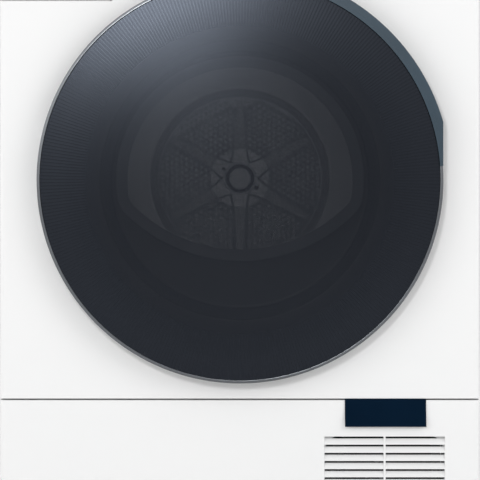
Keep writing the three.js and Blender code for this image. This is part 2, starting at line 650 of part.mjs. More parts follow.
function basePan() {
  const edge = SIDE_INNER - CLEAR;
  const back = REAR_INNER - CLEAR;
  const rimTop = FOOT_HEIGHT + BASE_RIM_HEIGHT;
  const wall = BASE_WALL;
  const tray = cut(
    box([-edge, edge], [BASE_FRONT, back], [FOOT_HEIGHT, rimTop]),
    box([-edge + wall, edge - wall], [BASE_FRONT + wall, back - wall], [FLOOR_TOP, rimTop + 1]),
  );
  const channel = box([CHANNEL_LEFT, CHANNEL_RIGHT], [CHANNEL_FRONT, CHANNEL_BACK],
    [FOOT_HEIGHT + 1, CHANNEL_TOP]);
  const flange = box([CHANNEL_LEFT, CHANNEL_RIGHT], [CHANNEL_FRONT, CHANNEL_FRONT + CHANNEL_WALL],
    [CHANNEL_TOP - 1, CHANNEL_TOP + CHANNEL_FLANGE]);
  const inside = box([CHANNEL_LEFT + CHANNEL_WALL, CHANNEL_RIGHT - CHANNEL_WALL],
    [BASE_FRONT - 1, CHANNEL_BACK - CHANNEL_WALL], [FLOOR_TOP, CHANNEL_TOP - CHANNEL_WALL]);
  const airIn = box([-FILTER_WIDTH / 2, CHANNEL_RIGHT - CHANNEL_WALL],
    [CHANNEL_FRONT + CHANNEL_WALL, CHANNEL_FRONT + 36], [CHANNEL_TOP - 5, CHANNEL_TOP + 1]);
  const airOut = box([CHANNEL_RIGHT - 110, CHANNEL_RIGHT - 20], [CHANNEL_BACK - 5, CHANNEL_BACK + 1],
    [FLOOR_TOP + 26, CHANNEL_TOP - 20]);
  const latchHoles = LATCH_XS.map((x) => disc('y', [x, LATCH_Z], LATCH_PIN_RADIUS + RUN_CLEAR,
    CHANNEL_FRONT - 1, CHANNEL_FRONT + CHANNEL_WALL + 1, SMALL_ROUND));
  const sockets = FEET.map(([, x, y]) => footSocket(x, y));
  const idlerPost = box([IDLER_PIVOT.x - 9, IDLER_PIVOT.x + 9], [POST_Y, POST_Y + POST_DEPTH],
    [FLOOR_TOP - 1, IDLER_PIVOT.z + 9]);
  const idlerPin = disc('y', [IDLER_PIVOT.x, IDLER_PIVOT.z], IDLER_PIN_RADIUS,
    ARM_Y - SPRING_LENGTH - 2, POST_Y + 1, SMALL_ROUND);
  const coolerPost = box([COOLER_X - 16, COOLER_X + 16], [COOLER_Y + 18, COOLER_Y + 26],
    [FLOOR_TOP - 1, COOLER_Z]);
  const coolerMotor = disc('y', [COOLER_X, COOLER_Z], 20, COOLER_Y + 12, COOLER_Y + 40, 24);
  const coolerPin = disc('y', [COOLER_X, COOLER_Z], LATCH_PIN_RADIUS, COOLER_Y - 10,
    COOLER_Y + 13, SMALL_ROUND);
  const body = join(
    cut(join(tray, channel, flange), inside, airIn, airOut, ...latchHoles),
    ...sockets.map(({ boss }) => boss),
    flapEar(1), flapEar(-1), idlerPost, idlerPin, coolerPost, coolerMotor, coolerPin,
  );
  return cut(body, ...sockets.map(({ bore }) => bore));
}

function exchangerCover() {
  const bottom = FOOT_HEIGHT + BASE_RIM_HEIGHT + CLEAR;
  const inset = 6;
  const plate = box([CHANNEL_LEFT + inset, CHANNEL_RIGHT - inset], [COVER_FRONT, COVER_BACK],
    [bottom, COVER_TOP]);
  const ribs = [0.3, 0.7].map((share) => {
    const z = bottom + share * (COVER_TOP - bottom);
    return box([CHANNEL_LEFT + 3 * inset, CHANNEL_RIGHT - 3 * inset],
      [COVER_FRONT - 3, COVER_BACK - 1], [z - 3, z + 3]);
  });
  return join(plate, ...ribs);
}

// turn button: its wing hangs over the cover's upper edge and swings aside
function coverLatch() {
  const front = CHANNEL_FRONT - CLEAR - COVER_THICKNESS - CLEAR;
  const wing = box([-6, 6], [front - 5, front], [-(LATCH_Z - COVER_TOP) - 12, 0]);
  const head = disc('y', [0, 0], LATCH_RADIUS / 1.4, front - 5, CHANNEL_FRONT - CLEAR, 24);
  const grip = box([-3, 3], [front - 12, front - 4], [-9, 9]);
  const pin = disc('y', [0, 0], LATCH_PIN_RADIUS, front - 1, CHANNEL_FRONT + CHANNEL_WALL + 3,
    SMALL_ROUND);
  return join(wing, head, grip, pin);
}

// finned block: upright fins threaded on level tubes
function coilBlock(from) {
  const margin = CLEAR;
  const left = CHANNEL_LEFT + CHANNEL_WALL + margin;
  const right = CHANNEL_RIGHT - CHANNEL_WALL - margin;
  const bottom = FLOOR_TOP + margin;
  const top = CHANNEL_TOP - CHANNEL_WALL - margin;
  const fin = 2;
  const fins = Array.from({ length: COIL_FINS }, (_, i) => {
    const x = left + ((right - left - fin) * i) / (COIL_FINS - 1);
    return box([x, x + fin], [from, from + COIL_DEPTH], [bottom, top]);
  });
  const tubes = [0.2, 0.5, 0.8].map((share) => {
    const y = from + share * COIL_DEPTH;
    const z = bottom + share * (top - bottom);
    return box([left + fin / 2, right - fin / 2], [y - 4, y + 4], [z - 4, z + 4]);
  });
  return join(...fins, ...tubes);
}

function compressor() {
  const r = COMPRESSOR_RADIUS;
  const h = COMPRESSOR_HEIGHT;
  const profile = [[0, 0], [r * 0.7, 0], [r, 14], [r, h - 26], [r * 0.8, h - 8], [r * 0.4, h], [0, h]];
  const shell = turned(profile, 20).rotate([90, 0, 0]);
  const feet = [90, 210, 330].map((angle) => {
    const arm = box([0, r + 14], [-11, 11], [4, 9]);
    const pad = disc('z', [r + 4, 0], 9, -8, 5, 12);
    return join(arm, pad).rotate([0, 0, angle]);
  });
  return join(shell, ...feet).translate([COMPRESSOR_X, COMPRESSOR_Y, FLOOR_TOP + 8 + CLEAR]);
}

function condensatePump() {
  const x = CHANNEL_RIGHT + 30;
  const y = BASE_FRONT + 60;
  const bottom = FLOOR_TOP + CLEAR;
  const housing = disc('z', [x, y], 19, bottom, bottom + 34, 24);
  const motor = disc('z', [x, y], 13, bottom + 33, bottom + 62, 20);
  const spout = disc('x', [y, bottom + 12], 5, x, x + 34, 12);
  return join(housing, motor, spout);
}

piece('base_pan', basePan(), GREY);
piece('exchanger_cover', exchangerCover(), GREY);
piece('evaporator', coilBlock(COIL_FRONT), STEEL);
piece('condenser', coilBlock(COIL_FRONT + COIL_DEPTH + COIL_SPACING), STEEL);
piece('compressor', compressor(), DARK);
piece('condensate_pump', condensatePump(), DARK);
LATCH_XS.forEach((x, i) => {
  const name = ['cover_latch_left', 'cover_latch_right'][i];
  piece(name, coverLatch(), DARK, groupAt(x, 0, LATCH_Z));
});

// small axial fan blowing through the grille onto the compressor
function coolingFan() {
  const width = 14;
  const hub = disc('y', [0, 0], 14, -width / 2, width / 2, 24);
  const blades = Array.from({ length: COOLER_BLADES }, (_, i) => {
    const blade = box([8, COOLER_RADIUS], [-1, 1], [-11, 11]).rotate([32, 0, 0]);
    return blade.rotate([0, (360 * i) / COOLER_BLADES, 0]);
  });
  const bore = disc('y', [0, 0], LATCH_PIN_RADIUS + RUN_CLEAR, -width, width, SMALL_ROUND);
  return cut(join(hub, ...blades), bore);
}

piece('cooling_fan', coolingFan(), DARK, groupAt(COOLER_X, COOLER_Y, COOLER_Z));

// ---------------------------------------------------------------- port, bulkhead and filter

const PORT_FRONT = FRONT + 11.5;
const PORT_BACK = PORT_FRONT + PORT_LENGTH;
const BULKHEAD_Y = DRUM_FRONT - 16;
const BULKHEAD_BACK = BULKHEAD_Y + BULKHEAD_SHEET;
const DUCT_BOTTOM = CHANNEL_TOP + CHANNEL_FLANGE + 1;
const BAY_BOTTOM = DRAWER_BOTTOM + 14;
const BAY_LEFT = -SIDE_INNER + SIDE_FLANGE - BAY_WALL;
const BAY_RIGHT = BAY_LEFT + 2 * (BAY_WALL + RUNNER_CLEAR) + TANK_WIDTH;
const ROLLER_REACH = DRUM_RADIUS + CLEAR + ROLLER_RADIUS;
const ROLLER_X = ROLLER_REACH * Math.sin(degrees(ROLLER_ANGLE));
const ROLLER_Z = AXIS_HEIGHT - ROLLER_REACH * Math.cos(degrees(ROLLER_ANGLE));
const ROLLER_Y = DRUM_FRONT + 8;
const FILTER_Y = PORT_FRONT + 10;

function frontBulkhead() {
  const edge = SIDE_INNER - CLEAR;
  const outline = [
    [-edge, DUCT_BOTTOM],
    [edge, DUCT_BOTTOM],
    [edge, WORKTOP_BOTTOM - 76],
    [BAY_RIGHT + 4, WORKTOP_BOTTOM - 76],
    [BAY_RIGHT + 4, BAY_BOTTOM - 6],
    [-edge, BAY_BOTTOM - 6],
  ];
  const sheet = prism('y', outline, BULKHEAD_Y, BULKHEAD_BACK);
  const wall = BULKHEAD_SHEET;
  const collar = ring(PORT_RADIUS, PORT_RADIUS + wall, PORT_FRONT, PORT_BACK);
  const lip = ring(PORT_RADIUS, PANEL_OPENING_RADIUS - 1, PORT_FRONT, PORT_FRONT + wall);
  const felt = ring(FELT_RING_RADIUS - wall, FELT_RING_RADIUS, BULKHEAD_Y, DRUM_FRONT + FELT_RING_LENGTH);
  const centred = join(collar, lip, felt).translate([0, 0, AXIS_HEIGHT]);
  const hole = disc('y', [0, AXIS_HEIGHT], PORT_RADIUS, PORT_FRONT - 1, PORT_BACK + 1);
  const halfDuct = FILTER_WIDTH / 2 + CLEAR + wall;
  const ductTop = AXIS_HEIGHT - Math.sqrt(PORT_RADIUS ** 2 - halfDuct ** 2);
  const ductBack = FILTER_Y + FILTER_THICKNESS + 12;
  const duct = box([-halfDuct, halfDuct], [PORT_FRONT, ductBack + wall], [DUCT_BOTTOM, ductTop]);
  const ductInside = box([-halfDuct + wall, halfDuct - wall], [PORT_FRONT + wall, ductBack],
    [DUCT_BOTTOM - 1, ductTop + 4]);
  // guides hold the filter's frame at both sides
  const guideYs = [FILTER_Y - CLEAR - wall, FILTER_Y + FILTER_THICKNESS + CLEAR];
  const guides = [-halfDuct, halfDuct].flatMap((x) => guideYs.map((y) => (
    box([x - 6, x + 6], [y, y + wall], [DUCT_BOTTOM, ductTop - 14]))));
  const stop = box([-halfDuct, halfDuct], [FILTER_Y - 2, FILTER_Y + FILTER_THICKNESS + 2],
    [DUCT_BOTTOM, DUCT_BOTTOM + wall]);
  const airHole = box([-halfDuct + 16, halfDuct - 16], [FILTER_Y - 3, FILTER_Y + FILTER_THICKNESS + 3],
    [DUCT_BOTTOM - 1, DUCT_BOTTOM + wall + 1]);
  const rollerPins = [-1, 1].map((side) => disc('y', [side * ROLLER_X, ROLLER_Z], ROLLER_PIN_RADIUS,
    BULKHEAD_Y + 1, ROLLER_Y + ROLLER_WIDTH + 4, SMALL_ROUND));
  const trimmedGuides = guides.map((guide) => guide.intersect(duct));
  const body = cut(join(cut(join(centred, sheet, duct), hole, ductInside), ...trimmedGuides,
    cut(stop, airHole)), hole);
  return join(body, ...rollerPins);
}

function lintFilter() {
  const half = FILTER_WIDTH / 2;
  const bottom = DUCT_BOTTOM + BULKHEAD_SHEET + CLEAR;
  const top = AXIS_HEIGHT - PORT_RADIUS - 1;
  const [front, back] = [FILTER_Y, FILTER_Y + FILTER_THICKNESS];
  const middle = (front + back) / 2;
  const frame = cut(
    box([-half, half], [front, back], [bottom, top]),
    box([-half + 7, -3], [front - 1, back + 1], [bottom + 7, top - 9]),
    box([3, half - 7], [front - 1, back + 1], [bottom + 7, top - 9]),
  );
  const mesh = box([-half + 2, half - 2], [middle - 0.5, middle + 0.5], [bottom + 2, top - 4]);
  return join(frame, mesh);
}

piece('front_bulkhead', frontBulkhead(), ZINC);
piece('lint_filter', lintFilter(), DARK);

// ---------------------------------------------------------------- drum

const drum = groupAt(0, 0, AXIS_HEIGHT);
const DRUM_INNER = DRUM_RADIUS - DRUM_SHEET;
const REAR_WALL_Y = DRUM_BACK - DRUM_SHEET - CLEAR - REAR_WALL_SHEET;

function drumShell() {
  return turned([
    [DRUM_LIP_RADIUS, DRUM_FRONT],
    [DRUM_RADIUS, DRUM_FRONT],
    [DRUM_RADIUS, DRUM_BACK],
    [DRUM_BACK_LIP_RADIUS, DRUM_BACK],
    [DRUM_BACK_LIP_RADIUS, DRUM_BACK - DRUM_SHEET],
    [DRUM_INNER, DRUM_BACK - DRUM_SHEET],
    [DRUM_INNER, DRUM_FRONT + DRUM_SHEET],
    [DRUM_LIP_RADIUS, DRUM_FRONT + DRUM_SHEET],
  ]);
}

// dished disc: a raised centre field inside a sunk ring, with six pressed spokes
function drumRearWall() {
  const outer = DRUM_INNER - CLEAR;
  const t = REAR_WALL_SHEET;
  const field = REAR_WALL_Y - REAR_WALL_DISH;
  const front = [
    [SHAFT_RADIUS + CLEAR, field],
    [PERFORATED_RADIUS, field],
    [(PERFORATED_RADIUS + RING_RADIUS) / 2, field + 4],
    [RING_RADIUS, field],
    [outer, REAR_WALL_Y],
  ];
  const back = front.map(([r, y]) => [r, y + t]).reverse();
  const spokes = Array.from({ length: 6 }, (_, i) => {
    const spoke = box([HUB_RADIUS + 3, PERFORATED_RADIUS - 4], [field - SPOKE_HEIGHT, field + t / 2],
      [-SPOKE_WIDTH / 2, SPOKE_WIDTH / 2]);
    return spoke.rotate([0, 30 + 60 * i, 0]);
  });
  return join(turned([...front, ...back]), ...spokes);
}

const HUB_FRONT = REAR_WALL_Y - REAR_WALL_DISH - CLEAR;

function drumHub() {
  return turned([
    [0, HUB_FRONT - 14],
    [HUB_RADIUS * 0.45, HUB_FRONT - 14],
    [HUB_RADIUS * 0.55, HUB_FRONT - 9],
    [HUB_RADIUS * 0.9, HUB_FRONT - 6],
    [HUB_RADIUS, HUB_FRONT],
    [SHAFT_RADIUS, HUB_FRONT],
    [SHAFT_RADIUS, REAR + 4],
    [0, REAR + 4],
  ], 24);
}

// hollow paddle on the inside of the shell
function lifter() {
  const base = DRUM_INNER * Math.cos(Math.PI / ROUND) - CLEAR;
  const crest = base - LIFTER_HEIGHT;
  const half = LIFTER_HALF_ANGLE;
  const foot = arc(0, 0, base, -half, half, 4);
  const nose = arc(crest + 12, 0, 12, 115, 245, 5);
  const outline = [...foot, ...nose];
  return prism('y', outline, DRUM_FRONT + LIFTER_FRONT_GAP, DRUM_BACK - LIFTER_BACK_GAP);
}

piece('drum_shell', drumShell(), STEEL, drum);
piece('drum_rear_wall', drumRearWall(), STEEL, drum);
piece('drum_hub', drumHub(), STEEL, drum);
for (let i = 0; i < LIFTER_COUNT; i += 1) {
  const paddle = piece(`lifter_${i + 1}`, lifter(), DARK, drum);
  paddle.rotation.y = degrees(90 + (360 * i) / LIFTER_COUNT);
}

function drumBearing() {
  const back = REAR_INNER - CLEAR;
  const housing = ring(SHAFT_RADIUS + RUN_CLEAR, BEARING_RADIUS, back - BEARING_LENGTH, back, 24);
  return housing.translate([0, 0, AXIS_HEIGHT]);
}

piece('drum_bearing', drumBearing(), ZINC);

// ---------------------------------------------------------------- drive

function supportRoller() {
  const r = ROLLER_RADIUS;
  const w = ROLLER_WIDTH / 2;
  const b = ROLLER_PIN_RADIUS + RUN_CLEAR;
  return turned([[b, -w - 1], [b + 4, -w], [r, -w], [r, w], [b + 4, w], [b, w + 1]], 20);
}

const ROLLER_MIDDLE = ROLLER_Y + ROLLER_WIDTH / 2;
piece('support_roller_left', supportRoller(), RUBBER, groupAt(-ROLLER_X, ROLLER_MIDDLE, ROLLER_Z));
piece('support_roller_right', supportRoller(), RUBBER, groupAt(ROLLER_X, ROLLER_MIDDLE, ROLLER_Z));

// belt round the drum, the motor's pulley and the idler: arcs joined by their outer tangents
function beltOutline(wheels) {
  const points = [];
  const n = wheels.length;
  const tangent = (from, to) => {
    const dx = to.x - from.x;
    const dz = to.z - from.z;
    const heading = Math.atan2(dz, dx);
    const spread = Math.acos((from.r - to.r) / Math.hypot(dx, dz));
    return ((heading - spread) * 180) / Math.PI;
  };
  for (let i = 0; i < n; i += 1) {
    const wheel = wheels[i];
    const start = tangent(wheels[(i + n - 1) % n], wheel);
    let end = tangent(wheel, wheels[(i + 1) % n]);
    while (end < start) end += 360;
    const steps = Math.max(3, Math.round((end - start) / wheel.step));
    points.push(...arc(wheel.x, wheel.z, wheel.r, start, end, steps));
  }
  return points;
}

function driveBelt() {
  const wheels = (extra) => [
    { x: 0, z: AXIS_HEIGHT, r: DRUM_RADIUS + extra, step: 6 },
    { x: IDLER_X, z: IDLER_Z, r: IDLER_RADIUS + extra, step: 12 },
    { x: MOTOR_X, z: MOTOR_Z, r: PULLEY_RADIUS + extra, step: 24 },
  ];
  const from = BELT_Y - BELT_WIDTH / 2;
  const to = BELT_Y + BELT_WIDTH / 2;
  const outside = prism('y', beltOutline(wheels(BELT_CLEAR + BELT_THICKNESS)), from, to);
  return cut(outside, prism('y', beltOutline(wheels(BELT_CLEAR)), from - 1, to + 1));
}

const MOTOR_FRONT = BELT_Y + BELT_WIDTH / 2 + 8;
const MOTOR_BACK = MOTOR_FRONT + MOTOR_LENGTH;
const FAN_FRONT = MOTOR_BACK + 6;
const FAN_BACK = REAR_INNER - CLEAR;
const FAN_CASE_WALL = 2.5;

function motorBody() {
  const centre = [MOTOR_X, MOTOR_Z];
  const can = disc('y', centre, MOTOR_RADIUS, MOTOR_FRONT, MOTOR_BACK, 24);
  const stand = box([MOTOR_X - 30, MOTOR_X + 30], [MOTOR_FRONT + 10, MOTOR_BACK - 10],
    [FLOOR_TOP + CLEAR, MOTOR_Z]);
  const bore = disc('y', centre, MOTOR_SHAFT_RADIUS + RUN_CLEAR, MOTOR_FRONT - 1, MOTOR_BACK + 1,
    SMALL_ROUND);
  const inside = disc('y', centre, MOTOR_RADIUS - 8, MOTOR_FRONT + 8, MOTOR_BACK - 8, 24);
  return cut(join(can, stand), bore, inside);
}

function motorShaft() {
  const pulley = disc('y', [0, 0], PULLEY_RADIUS, BELT_Y - BELT_WIDTH / 2 - 1,
    BELT_Y + BELT_WIDTH / 2 + 1, 24);
  const shaft = disc('y', [0, 0], MOTOR_SHAFT_RADIUS, BELT_Y - BELT_WIDTH / 2 - 4,
    FAN_FRONT + FAN_WIDTH + 14, SMALL_ROUND);
  return join(pulley, shaft);
}

function processFan() {
  const from = FAN_FRONT + 12;
  const to = from + FAN_WIDTH;
  const plate = disc('y', [0, 0], FAN_RADIUS, to - 2, to, 28);
  const hub = disc('y', [0, 0], 13, from, to, 16);
  const blades = Array.from({ length: FAN_BLADES }, (_, i) => {
    const blade = box([FAN_RADIUS * 0.5, FAN_RADIUS], [from, to - 1], [-1, 1]);
    return blade.rotate([0, (360 * i) / FAN_BLADES, 0]);
  });
  const bore = disc('y', [0, 0], MOTOR_SHAFT_RADIUS + CLEAR, from - 1, to + 1, SMALL_ROUND);
  return cut(join(plate, hub, ...blades), bore);
}

function fanHousing() {
  const centre = [MOTOR_X, MOTOR_Z];
  const r = FAN_CASE_RADIUS;
  const shell = join(disc('y', centre, r, FAN_FRONT, FAN_BACK, 28),
    box([MOTOR_X - 40, MOTOR_X + 40], [FAN_FRONT, FAN_BACK - BASE_WALL - CLEAR],
      [FLOOR_TOP + CLEAR, MOTOR_Z - r / 2]));
  const inside = disc('y', centre, r - FAN_CASE_WALL, FAN_FRONT + FAN_CASE_WALL,
    FAN_BACK - FAN_CASE_WALL, 28);
  const inletHole = disc('y', centre, FAN_RADIUS * 0.6, FAN_FRONT - 1, FAN_FRONT + 4, 20);
  const outletHole = disc('y', centre, r - 16, FAN_BACK - 4, FAN_BACK + 1, 24);
  return cut(shell, inside, inletHole, outletHole);
}

const drive = groupAt(MOTOR_X, 0, MOTOR_Z);
piece('drum_belt', driveBelt(), RUBBER);
piece('motor_body', motorBody(), STEEL);
piece('motor_shaft', motorShaft(), STEEL, drive);
piece('process_fan', processFan(), DARK, drive);
piece('fan_housing', fanHousing(), GREY);

// belt tensioner: a bent arm on the base's post, with the idler pulley at its end
function idlerArm() {
  const { x, z } = IDLER_PIVOT;
  const to = ARM_Y + ARM_THICKNESS;
  const bar = box([0, IDLER_ARM_LENGTH], [ARM_Y, to], [-6, 6])
    .rotate([0, -135, 0])
    .translate([x, 0, z]);
  const eyes = [
    disc('y', [x, z], 10, ARM_Y, to, 24),
    disc('y', [IDLER_X, IDLER_Z], 8, ARM_Y, to, 24),
  ];
  const bore = disc('y', [x, z], IDLER_PIN_RADIUS + RUN_CLEAR, ARM_Y - 1, to + 1, SMALL_ROUND);
  const pin = disc('y', [IDLER_X, IDLER_Z], IDLER_PIN_RADIUS, BELT_Y - BELT_WIDTH / 2 - 5, ARM_Y + 1,
    SMALL_ROUND);
  return join(cut(join(bar, ...eyes), bore), pin);
}

function idlerPulley() {
  const w = BELT_WIDTH / 2 + 1.5;
  const b = IDLER_PIN_RADIUS + RUN_CLEAR;
  return ring(b, IDLER_RADIUS, -w, w, 20);
}

// torsion spring round the post's pin: a coil with one straight leg under the arm
function idlerSpring() {
  const coilRadius = IDLER_PIN_RADIUS + SPRING_WIRE + RUN_CLEAR + 0.6;
  const pitch = 2 * SPRING_WIRE + CLEAR;
  const start = ARM_Y - CLEAR - SPRING_WIRE - SPRING_TURNS * pitch * 0.55;
  const stepsPerTurn = 10;
  const turns = SPRING_TURNS * 0.55;
  const points = Array.from({ length: Math.round(turns * stepsPerTurn) + 1 }, (_, i) => {
    const angle = degrees(225) + (2 * Math.PI * i) / stepsPerTurn;
    const y = start + (pitch * i) / stepsPerTurn;
    return new THREE.Vector3(coilRadius * Math.cos(angle), y, coilRadius * Math.sin(angle));
  });
  const path = new THREE.CatmullRomCurve3(points);
  const section = new THREE.Shape(circle(0, 0, SPRING_WIRE, 5).map(([u, v]) => new THREE.Vector2(u, v)));
  const geometry = new THREE.ExtrudeGeometry(section, { steps: points.length, extrudePath: path });
  return solid(geometry).translate([IDLER_PIVOT.x, 0, IDLER_PIVOT.z]);
}

piece('idler_arm', idlerArm(), ZINC);
piece('idler_pulley', idlerPulley(), DARK, groupAt(IDLER_X, BELT_Y, IDLER_Z));
piece('idler_spring', idlerSpring(), STEEL);

// ---------------------------------------------------------------- door

const door = groupAt(0, 0, AXIS_HEIGHT);
const RIM_OUTER = GLASS_RADIUS + CLEAR + RIM_WIDTH;
const GLASS_EDGE = DOOR_FRONT + GLASS_RISE;
const RIM_BACK = GLASS_EDGE + RIM_DEPTH - 0.5;
const RIM_FRONT = RIM_BACK - RIM_DEPTH;
const FRAME_BACK = FRONT - DOOR_GAP;
const FRAME_FRONT = RIM_BACK + CLEAR;
const PANE_BACK = RIM_BACK - RIM_PLATE - CLEAR;

// domed glass: a crowned front over a back face that follows it
function doorGlass() {
  const radius = (GLASS_RADIUS ** 2 + GLASS_RISE ** 2) / (2 * GLASS_RISE);
  const crown = (r) => DOOR_FRONT + radius - Math.sqrt(radius ** 2 - r ** 2);
  const stations = [0, 0.45, 0.76].map((share) => share * GLASS_RADIUS);
  const front = [...stations, GLASS_RADIUS].map((r) => [r, crown(r)]);
  const edge = [[GLASS_RADIUS, PANE_BACK], [GLASS_RADIUS - 8, PANE_BACK]];
  const back = stations.reverse().map((r) => [r, crown(r) + GLASS_THICKNESS]);
  return turned([...front, ...edge, ...back], DOOR_ROUND);
}

function doorRim() {
  const inner = GLASS_RADIUS + CLEAR;
  return turned([
    [FRAME_RADIUS - 12, RIM_BACK - RIM_PLATE],
    [inner, RIM_BACK - RIM_PLATE],
    [inner, RIM_FRONT + 1],
    [inner + 1, RIM_FRONT],
    [RIM_OUTER, RIM_FRONT + 2],
    [RIM_OUTER, RIM_BACK],
    [FRAME_RADIUS - 12, RIM_BACK],
  ], DOOR_ROUND);
}

// grip at the upper right: an arc round the rim, trimmed level with it at the side and the top
function doorGrip() {
  const outer = RIM_OUTER + GRIP_REACH;
  const inner = RIM_OUTER + CLEAR;
  const corner = (Math.acos(RIM_OUTER / outer) * 180) / Math.PI;
  const tip = (Math.acos(RIM_OUTER / inner) * 180) / Math.PI;
  const outline = [
    ...arc(0, 0, outer, corner, 90 - corner, 16),
    ...arc(0, 0, inner, 90 - tip, tip, 20),
  ];
  const front = RIM_FRONT - 1;
  const shell = prism('y', outline, front, front + GRIP_DEPTH);
  // a tongue behind the rim ties the grip to the door frame
  const tongue = prism('y', [...arc(0, 0, RIM_OUTER + 2, 20, 70, 12),
    ...arc(0, 0, FRAME_RADIUS + CLEAR, 70, 20, 12)], RIM_BACK + CLEAR, front + GRIP_DEPTH);
  return join(shell, tongue);
}

function doorFrame() {
  return turned([
    [FRAME_INNER, FRAME_BACK],
    [FRAME_RADIUS - 4, FRAME_BACK],
    [FRAME_RADIUS, FRAME_BACK - 4],
    [FRAME_RADIUS, FRAME_FRONT],
    [FRAME_INNER, FRAME_FRONT],
  ], ROUND);
}

// points of the window's outline: an upper arc and a flatter lower one, with rounded corners
function windowOutline(grow) {
  const top = LINER_RADIUS - WINDOW_INSET + grow;
  const low = LINER_RADIUS + WINDOW_LOW_SPREAD + grow;
  const lowCentre = WINDOW_LOW_SPREAD + WINDOW_LOW_RISE;
  const corner = WINDOW_CORNER + grow;
  // the corner circle touches both arcs from inside
  const a = top - corner;
  const b = low - corner;
  const z = (a * a - b * b + lowCentre * lowCentre) / (2 * lowCentre);
  const x = Math.sqrt(a * a - z * z);
  const topAngle = (Math.atan2(z, x) * 180) / Math.PI;
  const lowAngle = (Math.atan2(z - lowCentre, x) * 180) / Math.PI;
  return [
    ...arc(0, 0, top, topAngle, 180 - topAngle, 20),
    ...arc(-x, z, corner, 180 - topAngle, 180 - lowAngle, 4).slice(1, -1),
    ...arc(0, lowCentre, low, 180 - lowAngle, 360 + lowAngle, 14),
    ...arc(x, z, corner, lowAngle, topAngle, 4).slice(1, -1),
  ];
}

const LINER_REAR = FRONT + LINER_BACK;

// dished liner that plugs into the port, with the window's opening in its rear face
function doorLiner() {
  const flange = FRAME_INNER - CLEAR;
  const w = LINER_WALL;
  const rear = LINER_RADIUS - LINER_TAPER;
  const dish = turned([
    [0, LINER_REAR],
    [rear - 8, LINER_REAR],
    [rear, LINER_REAR - 8],
    [LINER_RADIUS, FRAME_BACK + w],
    [flange, FRAME_BACK + w - CLEAR],
    [flange, FRAME_BACK - 1],
    [LINER_RADIUS - w, FRAME_BACK - 1],
    [rear - w, LINER_REAR - 8],
    [rear - w - 6, LINER_REAR - w],
    [0, LINER_REAR - w],
  ], ROUND);
  const opening = prism('y', windowOutline(0), LINER_REAR - w - 1, LINER_REAR + 1);
  return cut(dish, opening);
}

function doorWindow() {
  const front = LINER_REAR - LINER_WALL - CLEAR - WINDOW_THICKNESS;
  return prism('y', windowOutline(WINDOW_LEDGE), front, front + WINDOW_THICKNESS);
}

function doorSeal() {
  const from = FRAME_BACK + LINER_WALL + CLEAR;
  const to = PORT_FRONT - CLEAR;
  const r = SEAL_RADIUS;
  const half = SEAL_WIDTH / 2;
  return turned([[r - half, from], [r + half, from], [r + half - 2, to], [r - half + 3, to]], ROUND);
}

// hook plate screwed behind the frame, with its tongue reaching into the lock
function latchHook() {
  const tongue = box([HOOK_SIDE - HOOK_WIDTH / 2, HOOK_SIDE + HOOK_WIDTH / 2],
    [FRAME_BACK + CLEAR, FRONT + HOOK_REACH], [-HOOK_HEIGHT / 2, HOOK_HEIGHT / 2]);
  const plate = box([FRAME_INNER + 6, FRAME_RADIUS - 5], [FRAME_BACK + CLEAR, FRAME_BACK + CLEAR + 2],
    [-HOOK_HEIGHT, HOOK_HEIGHT]);
  const notch = box([HOOK_SIDE - HOOK_WIDTH, HOOK_SIDE + HOOK_WIDTH],
    [FRONT + HOOK_REACH - 12, FRONT + HOOK_REACH - 6], [HOOK_HEIGHT / 2 - 3, HOOK_HEIGHT]);
  return cut(join(tongue, plate), notch);
}

// knuckle on the hinge pin and the arm that carries the door frame
function hingeArm() {
  const x = PIVOT_X;
  const y = PIVOT_Y;
  const z = [-KNUCKLE_HALF, KNUCKLE_HALF];
  const knuckle = disc('z', [x, y], KNUCKLE_RADIUS, ...z, SMALL_ROUND);
  const web = box([x, -FRAME_RADIUS + 6], [y - 2.5, y + 2.5], z);
  const bore = disc('z', [x, y], HINGE_PIN_RADIUS + RUN_CLEAR, z[0] - 1, z[1] + 1, SMALL_ROUND);
  const frameSide = disc('y', [0, 0], FRAME_RADIUS + CLEAR, FRAME_FRONT - 1, FRAME_BACK + 1, ROUND);
  return cut(join(knuckle, web), bore, frameSide);
}

// plate behind the front panel with two lugs and the pin between them
function hingePlate() {
  const x = PIVOT_X;
  const back = SKIN_BACK + CLEAR;
  const half = LUG_FROM + LUG_HEIGHT + 10;
  const plate = box([x - 10, x + 10], [back, back + HINGE_PLATE], [-half, half]);
  const lugOutline = [
    [x + 1, back + 1],
    [x + 1, PIVOT_Y + KNUCKLE_RADIUS * 0.9],
    ...arc(x, PIVOT_Y, KNUCKLE_RADIUS, 90, 360, 10),
    [x + KNUCKLE_RADIUS, back + 1],
  ];
  const lugs = [-1, 1].map((side) => {
    const ends = [side * LUG_FROM, side * (LUG_FROM + LUG_HEIGHT)].sort((p, q) => p - q);
    return prism('z', lugOutline, ...ends);
  });
  const pin = disc('z', [x, PIVOT_Y], HINGE_PIN_RADIUS, -LUG_FROM - 1, LUG_FROM + 1, SMALL_ROUND);
  return join(plate, ...lugs, pin);
}

piece('door_glass', doorGlass(), GLASS, door);
piece('door_rim', doorRim(), STEEL, door);
piece('door_grip', doorGrip(), PETROL, door);
piece('door_frame', doorFrame(), DARK, door);
piece('door_liner', doorLiner(), DARK, door);
piece('door_window', doorWindow(), CLEAR_GLASS, door);
piece('door_seal', doorSeal(), RUBBER, door);
piece('latch_hook', latchHook(), STEEL, door);
piece('door_hinge_arm', hingeArm(), STEEL, door);
piece('door_hinge_plate', hingePlate(), STEEL, groupAt(0, 0, AXIS_HEIGHT));

